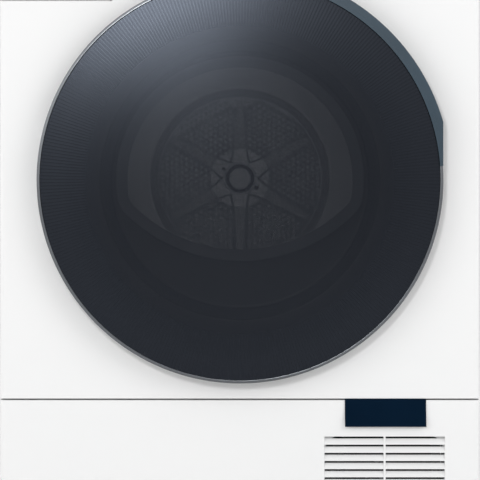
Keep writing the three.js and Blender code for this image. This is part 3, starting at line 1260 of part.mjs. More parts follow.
// lock behind the front panel: a housing with a slot for the hook and a sprung lever over it
const LOCK_HALF = 26;
const LOCK_BACK = FRONT + HOOK_REACH + 7;
const LEVER_BOTTOM = HOOK_HEIGHT / 2 + CLEAR;
const LEVER_PIVOT = { y: FRONT + HOOK_REACH - 1, z: HOOK_HEIGHT / 2 + 9 };
const LEVER_PIN_RADIUS = 2;

function lockHousing() {
  const x0 = HOOK_SIDE - HOOK_WIDTH / 2 - 8;
  const x1 = HOOK_SIDE + HOOK_WIDTH / 2 + 12;
  const front = SKIN_BACK + CLEAR;
  const body = box([x0, x1], [front, LOCK_BACK], [-LOCK_HALF, LOCK_HALF]);
  const inside = box([x0 + 2.5, x1 - 2.5], [front - 1, LOCK_BACK - 2.5], [-LOCK_HALF + 3, LOCK_HALF - 3]);
  const pin = disc('x', [LEVER_PIVOT.y, LEVER_PIVOT.z], LEVER_PIN_RADIUS, x0 + 1, x1 - 1, SMALL_ROUND);
  return join(cut(body, inside), pin);
}

function lockLever() {
  const { y, z } = LEVER_PIVOT;
  const x = [HOOK_SIDE - HOOK_WIDTH / 2 - 2, HOOK_SIDE + HOOK_WIDTH / 2 + 2];
  const half = LEVER_THICKNESS / 2;
  const tip = y - LEVER_LENGTH + 4;
  const outline = [
    [y, z + half],
    [tip, z + half],
    [tip, z - half],
    [y - 13, z - half],
    [y - 11, LEVER_BOTTOM],
    [y - 8, LEVER_BOTTOM],
    [y - 6, z - half],
    [y, z - half],
  ];
  const eye = disc('x', [y, z], LEVER_PIN_RADIUS + 2.2, ...x, SMALL_ROUND);
  const bore = disc('x', [y, z], LEVER_PIN_RADIUS + RUN_CLEAR, x[0] - 1, x[1] + 1, SMALL_ROUND);
  return cut(join(prism('x', outline, ...x), eye), bore);
}

const lock = groupAt(0, 0, AXIS_HEIGHT);
piece('lock_housing', lockHousing(), DARK, lock);
piece('lock_lever', lockLever(), ZINC, lock);

// ---------------------------------------------------------------- condensate container

const BAY_TOP = FASCIA_TOP - 5;
const TANK_X = [BAY_LEFT + BAY_WALL + RUNNER_CLEAR, BAY_RIGHT - BAY_WALL - RUNNER_CLEAR];
const TANK_BOTTOM = BAY_BOTTOM + BAY_WALL + CLEAR;
const TANK_FRONT = SKIN_BACK + CLEAR;
const TANK_BACK = TANK_FRONT + TANK_LENGTH;

function tankBay() {
  const back = REAR_INNER - CLEAR;
  const front = PANEL_BACK + SHEET + 2 * CLEAR;
  const body = box([BAY_LEFT, BAY_RIGHT], [front, back], [BAY_BOTTOM, BAY_TOP]);
  const room = box([BAY_LEFT + BAY_WALL, BAY_RIGHT - BAY_WALL], [front - 1, back - BAY_WALL],
    [BAY_BOTTOM + BAY_WALL, BAY_TOP + 1]);
  return cut(body, room);
}

function waterTank() {
  const top = TANK_BOTTOM + TANK_HEIGHT;
  const w = TANK_WALL;
  const x = (TANK_X[0] + TANK_X[1]) / 2;
  const outside = box(TANK_X, [TANK_FRONT, TANK_BACK], [TANK_BOTTOM, top]);
  const inside = box([TANK_X[0] + w, TANK_X[1] - w], [TANK_FRONT + w, TANK_BACK - w],
    [TANK_BOTTOM + w, top - w]);
  const fill = disc('z', [x, TANK_BACK - 60], FILL_HOLE, top - w - 1, top + 1, 20);
  return cut(outside, inside, fill);
}

function drawerFront() {
  const body = prism('z', traySection(-HALF, DRAWER_RIGHT), DRAWER_BOTTOM, FASCIA_TOP);
  // finger recess along the lower edge
  const mid = (-HALF + DRAWER_RIGHT) / 2;
  const recess = box([mid - 38, mid + 38], [SKIN_BACK - 1, PANEL_BACK + 1],
    [DRAWER_BOTTOM - 1, DRAWER_BOTTOM + 4]);
  return cut(body, recess);
}

piece('tank_bay', tankBay(), GREY);
piece('water_tank', waterTank(), GREY);
piece('drawer_front', drawerFront(), WHITE);

// ---------------------------------------------------------------- controls

function selectorKnob() {
  const back = -CLEAR;
  const outline = [[0, -KNOB_LENGTH], [KNOB_RADIUS - 3, -KNOB_LENGTH], [KNOB_RADIUS - 1, -KNOB_LENGTH + 2],
    [KNOB_RADIUS, back], [KNOB_SHAFT_RADIUS, back], [KNOB_SHAFT_RADIUS, FASCIA_WALL + 12],
    [0, FASCIA_WALL + 12]];
  const mark = box([-1, 1], [-KNOB_LENGTH - 1, -KNOB_LENGTH + 1], [8, KNOB_RADIUS - 5]);
  return cut(turned(outline, 24), mark);
}

function startButton() {
  const cap = disc('y', [0, 0], BUTTON_RADIUS, -BUTTON_PROUD, FASCIA_WALL + 1, 2 * SMALL_ROUND);
  const collar = disc('y', [0, 0], BUTTON_RADIUS + 2.5, FASCIA_WALL + CLEAR, FASCIA_WALL + 2,
    2 * SMALL_ROUND);
  const stem = disc('y', [0, 0], 4, FASCIA_WALL + 1, 12 + FASCIA_WALL - BUTTON_TRAVEL - CLEAR, SMALL_ROUND);
  return join(cap, collar, stem);
}

piece('selector_knob', selectorKnob(), STEEL, groupAt(KNOB_X, FRONT, DISPLAY_MID));
piece('start_button', startButton(), STEEL, groupAt(BUTTON_X, FRONT, DISPLAY_MID));

// ---------------------------------------------------------------- plinth flap

// two columns of sloping louvre slats between the grille's cheeks and its centre rib
function grilleSlats() {
  const lap = 1; // slats run into the cheeks and the rib
  const halfRib = GRILLE_RIB / 2 - lap / 2;
  const columns = [
    [GRILLE_LEFT - lap, GRILLE_MIDDLE - halfRib],
    [GRILLE_MIDDLE + halfRib, GRILLE_RIGHT + lap],
  ];
  return Array.from({ length: GRILLE_ROWS - 1 }, (_, i) => {
    const top = GRILLE_TOP - GRILLE_SLOT - i * GRILLE_PITCH;
    const bottom = top - GRILLE_PITCH + GRILLE_SLOT;
    const section = [[FRONT, bottom], [FRONT + 1.6, bottom], [FRONT + SLAT_DEPTH + 1.6, top],
      [FRONT + SLAT_DEPTH, top]];
    return columns.map(([x0, x1]) => prism('x', section, x0, x1));
  }).flat();
}

function plinthFlap() {
  const { y, z } = FLAP_PIVOT;
  const skin = prism('z', traySection(-HALF, HALF), FOOT_HEIGHT, PLINTH_TOP);
  const bottom = GRILLE_TOP - (GRILLE_ROWS - 1) * GRILLE_PITCH - GRILLE_SLOT;
  const hole = box([GRILLE_LEFT, GRILLE_RIGHT], [FRONT - 1, SKIN_BACK + 1], [bottom, GRILLE_TOP]);
  const cheekBack = FRONT + SLAT_DEPTH + 3;
  const cheeks = [[GRILLE_LEFT - 2, GRILLE_LEFT], [GRILLE_RIGHT, GRILLE_RIGHT + 2]].map((x) => box(x,
    [SKIN_BACK - 0.5, cheekBack], [bottom - 2, GRILLE_TOP + 2]));
  const rib = box([GRILLE_MIDDLE - GRILLE_RIB / 2, GRILLE_MIDDLE + GRILLE_RIB / 2],
    [FRONT, cheekBack], [bottom - 2, GRILLE_TOP + 2]);
  // the side walls' lower ends are cut back so that they clear the casing as the flap turns
  const heels = box([-HALF - 1, HALF + 1], [y + 8, PANEL_BACK + 1], [FOOT_HEIGHT - 1, z + 1]);
  const lugs = [-1, 1].map((side) => {
    const x = EAR_INNER + EAR_WIDTH + CLEAR;
    const outline = [[SKIN_BACK - 0.5, z - 6], ...arc(y, z, 6, 270, 450, 8), [SKIN_BACK - 0.5, z + 6]];
    const lug = prism('x', outline, x, x + FLAP_LUG_WIDTH);
    return side > 0 ? lug : lug.mirror([1, 0, 0]);
  });
  const bore = disc('x', [y, z], FLAP_PIN_RADIUS + RUN_CLEAR, -SIDE_INNER, SIDE_INNER, SMALL_ROUND);
  return cut(join(cut(skin, hole, heels), ...cheeks, rib, ...grilleSlats(), ...lugs), bore);
}

// folded tab hung over the flap's upper edge
function flapTab() {
  const t = TAB_THICKNESS;
  const x = [TAB_LEFT, TAB_LEFT + TAB_WIDTH];
  const front = FRONT - CLEAR;
  const top = PLINTH_TOP + CLEAR;
  const face = box(x, [front - t, front], [PLINTH_TOP - TAB_DROP, top]);
  const fold = box(x, [front - t, SKIN_BACK + CLEAR + t], [top, top + t * 0.7]);
  const hook = box(x, [SKIN_BACK + CLEAR, SKIN_BACK + CLEAR + t], [PLINTH_TOP - 12, top + t * 0.7]);
  return join(face, fold, hook);
}

piece('plinth_flap', plinthFlap(), WHITE);
piece('flap_tab', flapTab(), NAVY);

export default dryer;
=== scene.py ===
import json
import math

import bmesh
import bpy
from mathutils import Matrix, Vector
from mathutils.geometry import tessellate_polygon

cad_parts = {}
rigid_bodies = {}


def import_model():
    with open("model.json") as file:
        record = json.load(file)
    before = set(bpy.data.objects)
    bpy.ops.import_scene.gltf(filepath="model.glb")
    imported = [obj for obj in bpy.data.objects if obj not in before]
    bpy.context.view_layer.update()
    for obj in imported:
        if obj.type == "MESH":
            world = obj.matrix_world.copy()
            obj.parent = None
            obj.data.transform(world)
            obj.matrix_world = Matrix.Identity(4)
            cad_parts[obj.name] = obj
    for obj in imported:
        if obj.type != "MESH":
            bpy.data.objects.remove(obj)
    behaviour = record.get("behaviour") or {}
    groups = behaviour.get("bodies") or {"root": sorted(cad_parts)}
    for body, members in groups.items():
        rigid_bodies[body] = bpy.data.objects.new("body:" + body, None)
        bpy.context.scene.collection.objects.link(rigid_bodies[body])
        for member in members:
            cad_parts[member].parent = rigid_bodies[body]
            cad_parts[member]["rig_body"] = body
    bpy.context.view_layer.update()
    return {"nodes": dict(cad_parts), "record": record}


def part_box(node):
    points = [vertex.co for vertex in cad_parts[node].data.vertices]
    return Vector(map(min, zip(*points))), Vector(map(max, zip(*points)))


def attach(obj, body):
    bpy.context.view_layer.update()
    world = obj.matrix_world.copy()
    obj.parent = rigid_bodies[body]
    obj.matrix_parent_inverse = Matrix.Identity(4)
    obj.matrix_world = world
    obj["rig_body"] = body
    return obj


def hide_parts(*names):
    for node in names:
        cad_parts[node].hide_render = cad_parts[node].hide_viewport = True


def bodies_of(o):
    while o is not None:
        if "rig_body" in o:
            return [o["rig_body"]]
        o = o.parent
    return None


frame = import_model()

MM = 0.001
TAU = 2 * math.pi

# ---- places, from the frame

CASE_LOW, CASE_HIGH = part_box("front_panel")
FRONT = CASE_LOW.y
HALF = CASE_HIGH.x
GLASS_LOW, GLASS_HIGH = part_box("door_glass")
GLASS_RADIUS = (GLASS_HIGH.x - GLASS_LOW.x) / 2
AXIS_Z = (GLASS_LOW.z + GLASS_HIGH.z) / 2
RIM_LOW, RIM_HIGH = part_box("door_rim")
RIM_RADIUS = RIM_HIGH.x
DRUM_LOW, DRUM_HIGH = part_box("drum_shell")
FLAP_LOW, FLAP_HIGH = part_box("plinth_flap")


def centre(node):
    low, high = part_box(node)
    return (low + high) / 2


def body_of(node):
    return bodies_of(frame["nodes"][node])[0]


# ---- camera, lights and floor

CAMERA_DISTANCE = 3.0
CAMERA_Z = AXIS_Z + 13 * MM
VIEW_WIDTH = 595.2 * MM
PICTURE_MIDDLE_Z = AXIS_Z - 74.4 * MM
SENSOR = 36.0


def placed(name, data):
    """A new object in the scene."""
    item = bpy.data.objects.new(name, data)
    bpy.context.scene.collection.objects.link(item)
    return item


def add_camera():
    data = bpy.data.cameras.new("camera")
    data.sensor_width = SENSOR
    data.lens = SENSOR * CAMERA_DISTANCE / VIEW_WIDTH
    data.shift_y = (PICTURE_MIDDLE_Z - CAMERA_Z) / VIEW_WIDTH
    data.clip_end = 30
    camera = placed("camera", data)
    camera.location = (0, FRONT - CAMERA_DISTANCE, CAMERA_Z)
    camera.rotation_euler = (math.radians(90), 0, 0)
    bpy.context.scene.camera = camera


def add_area_light(name, place, target, size, power):
    data = bpy.data.lights.new(name, "AREA")
    data.shape = "DISK"
    data.size = size
    data.energy = power
    light = placed(name, data)
    light.location = place
    light.rotation_euler = (Vector(target) - Vector(place)).to_track_quat("-Z", "Y").to_euler()
    return light


def off_axis(turn, tilt, distance):
    """A place in front of the door: tilt from its axis, turned round it from +X towards up."""
    turn, tilt = math.radians(turn), math.radians(tilt)
    return (distance * math.sin(tilt) * math.cos(turn), FRONT - distance * math.cos(tilt),
            AXIS_Z + distance * math.sin(tilt) * math.sin(turn))


def add_lights():
    """A key for the enamel, a window for the door's gloss, soft fill, and weak lamps in drum and door."""
    middle, room = (0, FRONT, AXIS_Z), (0, 0, 0.4)
    key = add_area_light("key", off_axis(121, 16, 2.6), middle, 0.35, 16.4)
    key.visible_glossy = False
    window = add_area_light("window", off_axis(114, 31, 2.6), middle, 1.25, 84)
    window.visible_diffuse = False
    window.light_linking.receiver_collection = bpy.data.collections.new("gloss_of_the_door")
    add_area_light("left", off_axis(160, 50, 2.8), middle, 1.8, 8.6)
    add_area_light("right", off_axis(30, 50, 2.8), middle, 1.8, 14)
    in_drum = (-30 * MM, DRUM_LOW.y + 40 * MM, AXIS_Z + 30 * MM)
    behind_glass = (0, GLASS_HIGH.y + 2 * MM, AXIS_Z)
    for lamp in (add_area_light("drum_lamp", in_drum, (0, DRUM_HIGH.y, AXIS_Z), 280 * MM, 0.2),
                 add_area_light("door_lamp", behind_glass, (0, 0, AXIS_Z), 380 * MM, 0.004)):
        lamp.visible_camera = False
    add_area_light("back", (1.6, 2.6, 1.9), room, 1.6, 40)
    add_area_light("side", (-2.8, 0.4, 1.5), room, 1.6, 16)


def add_world():
    world = bpy.data.worlds.new("world")
    bpy.context.scene.world = world
    world.use_nodes = True
    nodes, links = world.node_tree.nodes, world.node_tree.links
    nodes.clear()
    light = nodes.new("ShaderNodeBackground")
    light.inputs["Color"].default_value = (1, 1, 1, 1)
    light.inputs["Strength"].default_value = 0.6
    links.new(light.outputs["Background"], nodes.new("ShaderNodeOutputWorld").inputs["Surface"])


# ---- materials


def linear(*codes):
    """An 8-bit display colour as the linear colour that a shader takes."""
    values = [c / 255 for c in codes]
    return tuple(v / 12.92 if v <= 0.04045 else ((v + 0.055) / 1.055) ** 2.4 for v in values) + (1.0,)


class Shader:
    """A node material with one Principled shader and short calls for the usual detail."""

    def __init__(self, name, color, roughness, metallic=0.0):
        self.material = bpy.data.materials.new(name)
        self.material.use_nodes = True
        self.nodes, self.links = self.material.node_tree.nodes, self.material.node_tree.links
        self.main = self.nodes["Principled BSDF"]
        self.color = color
        self.set("Base Color", color).set("Roughness", roughness).set("Metallic", metallic)
        self.coordinates = self.nodes.new("ShaderNodeTexCoord").outputs["Object"]

    def plug(self, socket, value):
        """Links a socket to another node's output, or sets it to a constant."""
        if isinstance(value, bpy.types.NodeSocket):
            self.links.new(value, socket)
        else:
            socket.default_value = value

    def set(self, name, value):
        self.plug(self.main.inputs[name], value)
        return self

    def node(self, kind, **values):
        """A new node; an underscore stands for the space in a socket's name."""
        node = self.nodes.new("ShaderNode" + kind)
        for name, value in values.items():
            self.plug(node.inputs[name.replace("_", " ")], value)
        return node

    def math(self, operation, *values):
        node = self.nodes.new("ShaderNodeMath")
        node.operation = operation
        for socket, value in zip(node.inputs, values):
            self.plug(socket, value)
        return node.outputs[0]

    def noise(self, scale, detail=2.0, stretch=None):
        place = self.coordinates
        if stretch:
            place = self.node("Mapping", Vector=place, Scale=stretch).outputs["Vector"]
        return self.node("TexNoise", Vector=place, Scale=scale, Detail=detail).outputs["Fac"]

    def ramp(self, value, low, high, from_low=0.0, from_high=1.0):
        node = self.node("MapRange", Value=value, From_Min=from_low, From_Max=from_high,
                         To_Min=low, To_Max=high)
        return node.outputs["Result"]

    def vary_color(self, value, other):
        """Mixes the base colour with another where value is 1."""
        mix = self.nodes.new("ShaderNodeMix")
        mix.data_type = "RGBA"
        factor, first, second = mix.inputs["Factor"], mix.inputs[6], mix.inputs[7]
        for socket, entry in ((factor, value), (first, self.color), (second, other)):
            self.plug(socket, entry)
        return self.set("Base Color", mix.outputs[2])

    def vary_roughness(self, value, low, high):
        return self.set("Roughness", self.ramp(value, low, high))

    def bump(self, value, strength, distance=0.0005):
        node = self.node("Bump", Strength=strength, Distance=distance, Height=value)
        return self.set("Normal", node.outputs["Normal"])

    def around_axis(self):
        """Angle in degrees and distance in metres round the door and drum's axis."""
        split = self.node("SeparateXYZ", Vector=self.coordinates)
        x = split.outputs["X"]
        z = self.math("SUBTRACT", split.outputs["Z"], AXIS_Z)
        angle = self.math("MULTIPLY", self.math("ARCTAN2", z, x), 180 / math.pi)
        squares = self.math("ADD", self.math("MULTIPLY", x, x), self.math("MULTIPLY", z, z))
        return angle, self.math("SQRT", squares)


def enamel():
    shade = Shader("white_enamel", linear(240, 240, 240), 0.42)
    shade.set("Specular IOR Level", 0.1).set("Coat Weight", 0.03).set("Coat Roughness", 0.2)
    shade.vary_color(shade.ramp(shade.noise(3.5, 3), 0, 0.5, 0.45, 0.8), linear(237, 238, 238))
    shade.vary_roughness(shade.noise(60), 0.38, 0.46)
    return shade.bump(shade.noise(700, 2), 0.05, 0.0002).material


def moulded(name, color, roughness=0.5, grain=0.25, gloss=0.5):
    """Injection-moulded plastic: a fine spark-eroded grain and slightly uneven gloss."""
    shade = Shader(name, color, roughness)
    shade.set("Specular IOR Level", gloss)
    lighter = (*(min(1, c * 1.25) for c in color[:3]), 1)
    shade.vary_color(shade.ramp(shade.noise(14, 3), 0, 0.6, 0.4, 0.75), lighter)
    shade.vary_roughness(shade.noise(120), roughness - 0.06, roughness + 0.06)
    return shade.bump(shade.noise(1600, 3), grain, 0.0002).material


def brushed(name, color, roughness, direction=(4, 4, 900), strength=0.12, metallic=1.0):
    """Brushed steel: hairlines that run one way, with soft patches in the gloss."""
    shade = Shader(name, color, roughness, metallic)
    lines = shade.noise(1.0, 4, direction)
    shade.vary_color(shade.ramp(lines, 0, 0.35, 0.35, 0.65), (*(c * 0.82 for c in color[:3]), 1))
    shade.vary_roughness(shade.noise(9, 2), roughness - 0.05, roughness + 0.08)
    return shade.bump(lines, strength, 0.0002).material


def galvanised():
    """Galvanised sheet with its crystal spangle."""
    shade = Shader("zinc_sheet", linear(170, 174, 177), 0.42, 0.8)
    cells = shade.node("TexVoronoi", Vector=shade.coordinates, Scale=130)
    tone = shade.node("SeparateColor", Color=cells.outputs["Color"])
    shade.vary_color(shade.ramp(tone.outputs[0], 0, 0.4), linear(136, 141, 146))
    shade.vary_roughness(tone.outputs[1], 0.34, 0.52)
    return shade.bump(shade.noise(400, 2), 0.06, 0.0002).material


def rubber():
    shade = Shader("seal_rubber", linear(44, 45, 47), 0.72)
    shade.vary_color(shade.ramp(shade.noise(40, 3), 0, 0.7, 0.45, 0.8), linear(58, 59, 61))
    return shade.bump(shade.noise(900, 3), 0.3, 0.0003).material


def tinted_glass():
    """Dark printed glass: fine radial lines near the rim that show only in the gloss."""
    shade = Shader("tinted_door_glass", linear(22, 24, 29), 0.24)
    shade.set("Specular Tint", (0.72, 0.82, 1.0, 1.0))
    angle, distance = shade.around_axis()
    level = shade.math("ADD", shade.ramp(distance, 0.265, 0.228, 0.168, 0.192),
                       shade.ramp(distance, 0.0, 0.035, 0.202, 0.225))
    wave = shade.math("SINE", shade.math("MULTIPLY", angle, TAU))
    near_rim = shade.ramp(distance, 0.0, 1.0, 0.160, 0.195)
    lines = shade.math("MULTIPLY", shade.math("MULTIPLY_ADD", wave, 0.5, 0.5), near_rim)
    middle = shade.ramp(distance, 0.5, 0.8, 0.100, 0.165)
    edge = shade.ramp(distance, 0.8, 0.985, 0.172, 0.196)
    shade.set("Specular IOR Level", level).set("Alpha", shade.math("MAXIMUM", middle, edge))
    return shade.set("Roughness", shade.ramp(lines, 0.27, 0.34)).material


def glass_inner_face():
    shade = Shader("glass_inner_face", linear(40, 43, 48), 0.2)
    return shade.set("Alpha", 0.04).vary_color(shade.noise(6), linear(46, 49, 55)).material


def window_pane():
    """Clear toughened glass of the window, lightly smoked."""
    shade = Shader("window_pane", linear(60, 65, 70), 0.06)
    shade.set("Alpha", 0.14).set("IOR", 1.5)
    shade.vary_color(shade.noise(5), linear(66, 72, 78))
    return shade.bump(shade.noise(8, 1), 0.03, 0.0005).material


# ---- shape helpers


def mm(*values):
    return [value * MM for value in values]


def around(middle, half):
    """The limits of a span about its middle."""
    return middle - half, middle + half


def finished(name, mesh, material, body, *nodes, slot=None, smooth=35):
    """Puts a mesh in the scene as a piece: smooth-shaded but for its sharp edges, and riding on a body."""
    piece = placed(name, mesh)
    mesh.materials.clear()
    mesh.materials.append(material)
    mesh.shade_smooth()
    mesh.set_sharp_from_angle(angle=math.radians(smooth))
    piece.modifiers.new("weighted normals", "WEIGHTED_NORMAL").keep_sharp = True
    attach(piece, body)
    if nodes:
        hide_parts(*nodes)


def to_mesh(bm):
    bmesh.ops.recalc_face_normals(bm, faces=bm.faces)
    mesh = bpy.data.meshes.new("mesh")
    bm.to_mesh(mesh)
    bm.free()
    return mesh


def joined(*meshes):
    """One mesh of several; the parts are closed shells that may pass into each other."""
    bm = bmesh.new()
    for mesh in meshes:
        bm.from_mesh(mesh)
    whole = bpy.data.meshes.new("joined")
    bm.to_mesh(whole)
    bm.free()
    return whole


def turned(mesh, angle):
    """A mesh made about the origin, turned and set on the door and drum's axis."""
    mesh.transform(Matrix.Translation((0, 0, AXIS_Z)) @ Matrix.Rotation(angle, 4, "Y"))
    return mesh


def with_modifier(mesh, kind, **settings):
    """The mesh as one modifier leaves it."""
    holder = placed("holder", mesh)
    modifier = holder.modifiers.new(kind, kind)
    for name, value in settings.items():
        setattr(modifier, name, value)
    graph = bpy.context.evaluated_depsgraph_get()
    result = bpy.data.meshes.new_from_object(holder.evaluated_get(graph))
    bpy.data.objects.remove(holder)
    return result


def bevelled(mesh, width=0.6 * MM, segments=3, angle=40):
    return with_modifier(mesh, "BEVEL", width=width, segments=segments, limit_method="ANGLE",
                         angle_limit=math.radians(angle), harden_normals=False)


def cut(mesh, *tools):
    for tool in tools:
        holder = placed("tool", tool)
        mesh = with_modifier(mesh, "BOOLEAN", operation="DIFFERENCE", solver="EXACT", object=holder)
        bpy.data.objects.remove(holder)
    return mesh


def arc(cx, cy, radius, start, end, steps):
    """Points of an arc, angles in degrees."""
    angles = [math.radians(start + (end - start) * i / steps) for i in range(steps + 1)]
    return [(cx + radius * math.cos(a), cy + radius * math.sin(a)) for a in angles]


def circle(cx, cy, radius, steps=48):
    return arc(cx, cy, radius, 0, 360, steps)[:-1]


def rounded(points, radius, steps=4):
    """A closed outline with its corners rounded; radius is one value or one for each corner."""
    count = len(points)
    radii = radius if isinstance(radius, (list, tuple)) else [radius] * count
    result = []
    for i, (corner, r) in enumerate(zip(points, radii)):
        here = Vector(corner)
        before, after = Vector(points[i - 1]) - here, Vector(points[(i + 1) % count]) - here
        bend = before.angle(after)
        if r <= 0 or bend > math.radians(179):
            result.append(tuple(here))
            continue
        reach = min(r / math.tan(bend / 2), before.length * 0.49, after.length * 0.49)
        start, end = here + before.normalized() * reach, here + after.normalized() * reach
        for k in range(steps + 1):
            t = k / steps
            middle_in, middle_out = start.lerp(here, t), here.lerp(end, t)
            result.append(tuple(middle_in.lerp(middle_out, t)))
    return result


def rectangle(x, z, radius=0.0, steps=4):
    corners = [(x[0], z[0]), (x[1], z[0]), (x[1], z[1]), (x[0], z[1])]
    return rounded(corners, radius, steps) if radius else corners


def lathe(section, sides=160, centre=(0, AXIS_Z)):
    """A closed (radius, y) section turned about the axis that runs along Y through centre."""
    bm = bmesh.new()
    columns = []
    for i in range(sides):
        x, z = math.cos(TAU * i / sides), math.sin(TAU * i / sides)
        columns.append([bm.verts.new((centre[0] + r * x, y, centre[1] + r * z)) for r, y in section])
    for here, there in zip(columns, columns[1:] + columns[:1]):
        for j in range(len(section)):
            k = (j + 1) % len(section)
            bm.faces.new((here[j], here[k], there[k], there[j]))
    bmesh.ops.remove_doubles(bm, verts=bm.verts, dist=1e-7)
    return to_mesh(bm)


def slab(axis, outline, low, high, holes=()):
    """An outline with holes, pushed along an axis; its points are the other two coordinates."""
    order = {"x": (2, 0, 1), "y": (0, 2, 1), "z": (0, 1, 2)}[axis]
    loops = [outline, *holes]
    bm = bmesh.new()
    rings = [[bm.verts.new([(u, v, level)[i] for i in order]) for loop in loops for u, v in loop]
             for level in (low, high)]
    triangles = tessellate_polygon([[Vector((u, v, 0)) for u, v in loop] for loop in loops])
    for ring in rings:
        for triangle in triangles:
            bm.faces.new([ring[i] for i in triangle])
    first = 0
    for loop in loops:
        for i in range(len(loop)):
            a, b = first + i, first + (i + 1) % len(loop)
            bm.faces.new((rings[0][a], rings[0][b], rings[1][b], rings[1][a]))
        first += len(loop)
    bmesh.ops.recalc_face_normals(bm, faces=bm.faces)
    bmesh.ops.dissolve_limit(bm, angle_limit=math.radians(0.5), verts=bm.verts, edges=bm.edges)
    return to_mesh(bm)


def bar(x, y, z, bevel=0.5 * MM, segments=2):
    """A bevelled bar from pairs of limits."""
    bm = bmesh.new()
    bmesh.ops.create_cube(bm, size=1)
    size = [high - low for low, high in (x, y, z)]
    middle = [(high + low) / 2 for low, high in (x, y, z)]
    bmesh.ops.transform(bm, verts=bm.verts, matrix=Matrix.Translation(middle) @ Matrix.Diagonal((*size, 1)))
    mesh = to_mesh(bm)
    return bevelled(mesh, bevel, segments) if bevel else mesh


def from_node(node, bevel=0.5 * MM, segments=2, angle=40):
    """A copy of a CAD node's solid with its flat faces whole and its edges bevelled."""
    bm = bmesh.new()
    bm.from_mesh(frame["nodes"][node].data)
    bmesh.ops.remove_doubles(bm, verts=bm.verts, dist=1e-6)
    bmesh.ops.dissolve_limit(bm, angle_limit=math.radians(0.5), verts=bm.verts, edges=bm.edges)
    mesh = to_mesh(bm)
    return bevelled(mesh, bevel, segments, angle) if bevel else mesh


# ---- enamelled panels

SHEET = 2 * MM
PANEL_RADIUS = 5 * MM
SEAM = 2 * MM
OPENING_RADIUS = 203 * MM
HOOK_X = centre("latch_hook").x
PIVOT_X = centre("door_hinge_plate").x
LUG_OFFSET = 59 * MM
PAST = 10 * MM  # how far a cutter reaches past what it cuts


def tray(low, high, sheet=SHEET, holes=()):
    """A folded front piece between two corners: a skin with rounded sides that go back, cut by holes."""
    y, radius = low.y + PANEL_RADIUS, PANEL_RADIUS - sheet
    sides = low.x + PANEL_RADIUS, high.x - PANEL_RADIUS
    outline = [(low.x, high.y), *arc(sides[0], y, PANEL_RADIUS, 180, 270, 8),
               *arc(sides[1], y, PANEL_RADIUS, 270, 360, 8), (high.x, high.y), (high.x - sheet, high.y),
               *arc(sides[1], y, radius, 360, 270, 8), *arc(sides[0], y, radius, 270, 180, 8),
               (low.x + sheet, high.y)]
    return cut(slab("z", outline, low.z, high.z),
               *[slab("y", hole, low.y - 5 * MM, low.y + 12 * MM) for hole in holes])


def add_front_panels(paint):
    low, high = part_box("front_panel")
    drawer_low, drawer_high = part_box("drawer_front")
    fascia_low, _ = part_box("control_fascia")
    opening = circle(0, AXIS_Z, OPENING_RADIUS, 160)
    hook_slot = rectangle(around(HOOK_X, 7 * MM), around(AXIS_Z, 12 * MM), 2 * MM)
    lug_slots = [rectangle(around(PIVOT_X, 5.2 * MM), around(z, 8 * MM), 1.5 * MM)
                 for z in around(AXIS_Z, LUG_OFFSET)]
    mesh = tray(low, high, holes=[opening, hook_slot, *lug_slots])
    # the corner that the container's front fills
    corner = slab("y", rectangle((low.x - PAST, fascia_low.x), (drawer_low.z - SEAM, high.z + PAST)),
                  low.y - PAST, high.y + PAST)
    finished("front_panel_skin", bevelled(cut(mesh, corner), 0.5 * MM), paint, "casing", "front_panel")

    # container front, with the finger recess along its lower edge
    middle = (drawer_low.x + drawer_high.x) / 2
    outline = rectangle(around(middle, 38 * MM), (drawer_low.z - PAST, drawer_low.z + 4 * MM), 1.5 * MM)
    recess = slab("y", outline, drawer_low.y + 1.5 * MM, drawer_high.y + PAST)
    mesh = bevelled(cut(tray(drawer_low, drawer_high), recess), 0.5 * MM)
    finished("container_front_skin", mesh, paint, "drawer", "drawer_front")


def add_seam_strips(paint):
    """Folded edges that close the seams between the front's panels, a little behind them."""
    split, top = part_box("control_fascia")[0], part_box("control_fascia")[1].z
    drawer_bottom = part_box("drawer_front")[0].z
    edge = HALF - 2.4 * MM
    upper, lower = (FRONT + 4.2 * MM, FRONT + 5.2 * MM), (FRONT + 9 * MM, FRONT + 10 * MM)
    spans = [((-edge, split.x - 3 * MM), upper, (drawer_bottom - 10 * MM, drawer_bottom - 0.4 * MM)),
             ((split.x - 1.6 * MM, split.x + 6 * MM), upper, (drawer_bottom - 10 * MM, top)),
             ((split.x + 5 * MM, edge), upper, (split.z - 10 * MM, split.z + 2 * MM)),
             ((split.x + 5 * MM, edge), upper, (top - 2 * MM, top + 6 * MM)),
             ((-edge, edge), lower, (CASE_LOW.z - 8 * MM, CASE_LOW.z + 10 * MM))]
    finished("seam_strips", joined(*[bar(x, y, z, 0.2 * MM) for x, y, z in spans]), paint, "casing")


# ---- plinth flap

GRILLE_WIDTH = 149.2 * MM
GRILLE_RIGHT = HALF - 44 * MM
GRILLE_LEFT = GRILLE_RIGHT - GRILLE_WIDTH
GRILLE_MIDDLE = (GRILLE_LEFT + GRILLE_RIGHT) / 2
GRILLE_TOP = 156.8 * MM
GRILLE_ROWS = 11
GRILLE_PITCH = 10.1 * MM
GRILLE_SLOT = 2.8 * MM
GRILLE_RIB = 2.5 * MM
SLAT_THICKNESS = 1.6 * MM
SLAT_DEPTH = 4.8 * MM


def louvre_slat(x0, x1, top, bottom):
    """One slat: flush and full at its lower edge, curling back to the slot above it."""
    def curl(near, start):
        return [(FRONT + near + SLAT_DEPTH * (i / 6) ** 1.25, start + (top - start) * i / 6)
                for i in range(7)]

    back = reversed(curl(SLAT_THICKNESS, bottom))
    return slab("x", [*curl(0, bottom + 0.5 * MM), *back, (FRONT + 0.4 * MM, bottom)], x0, x1)


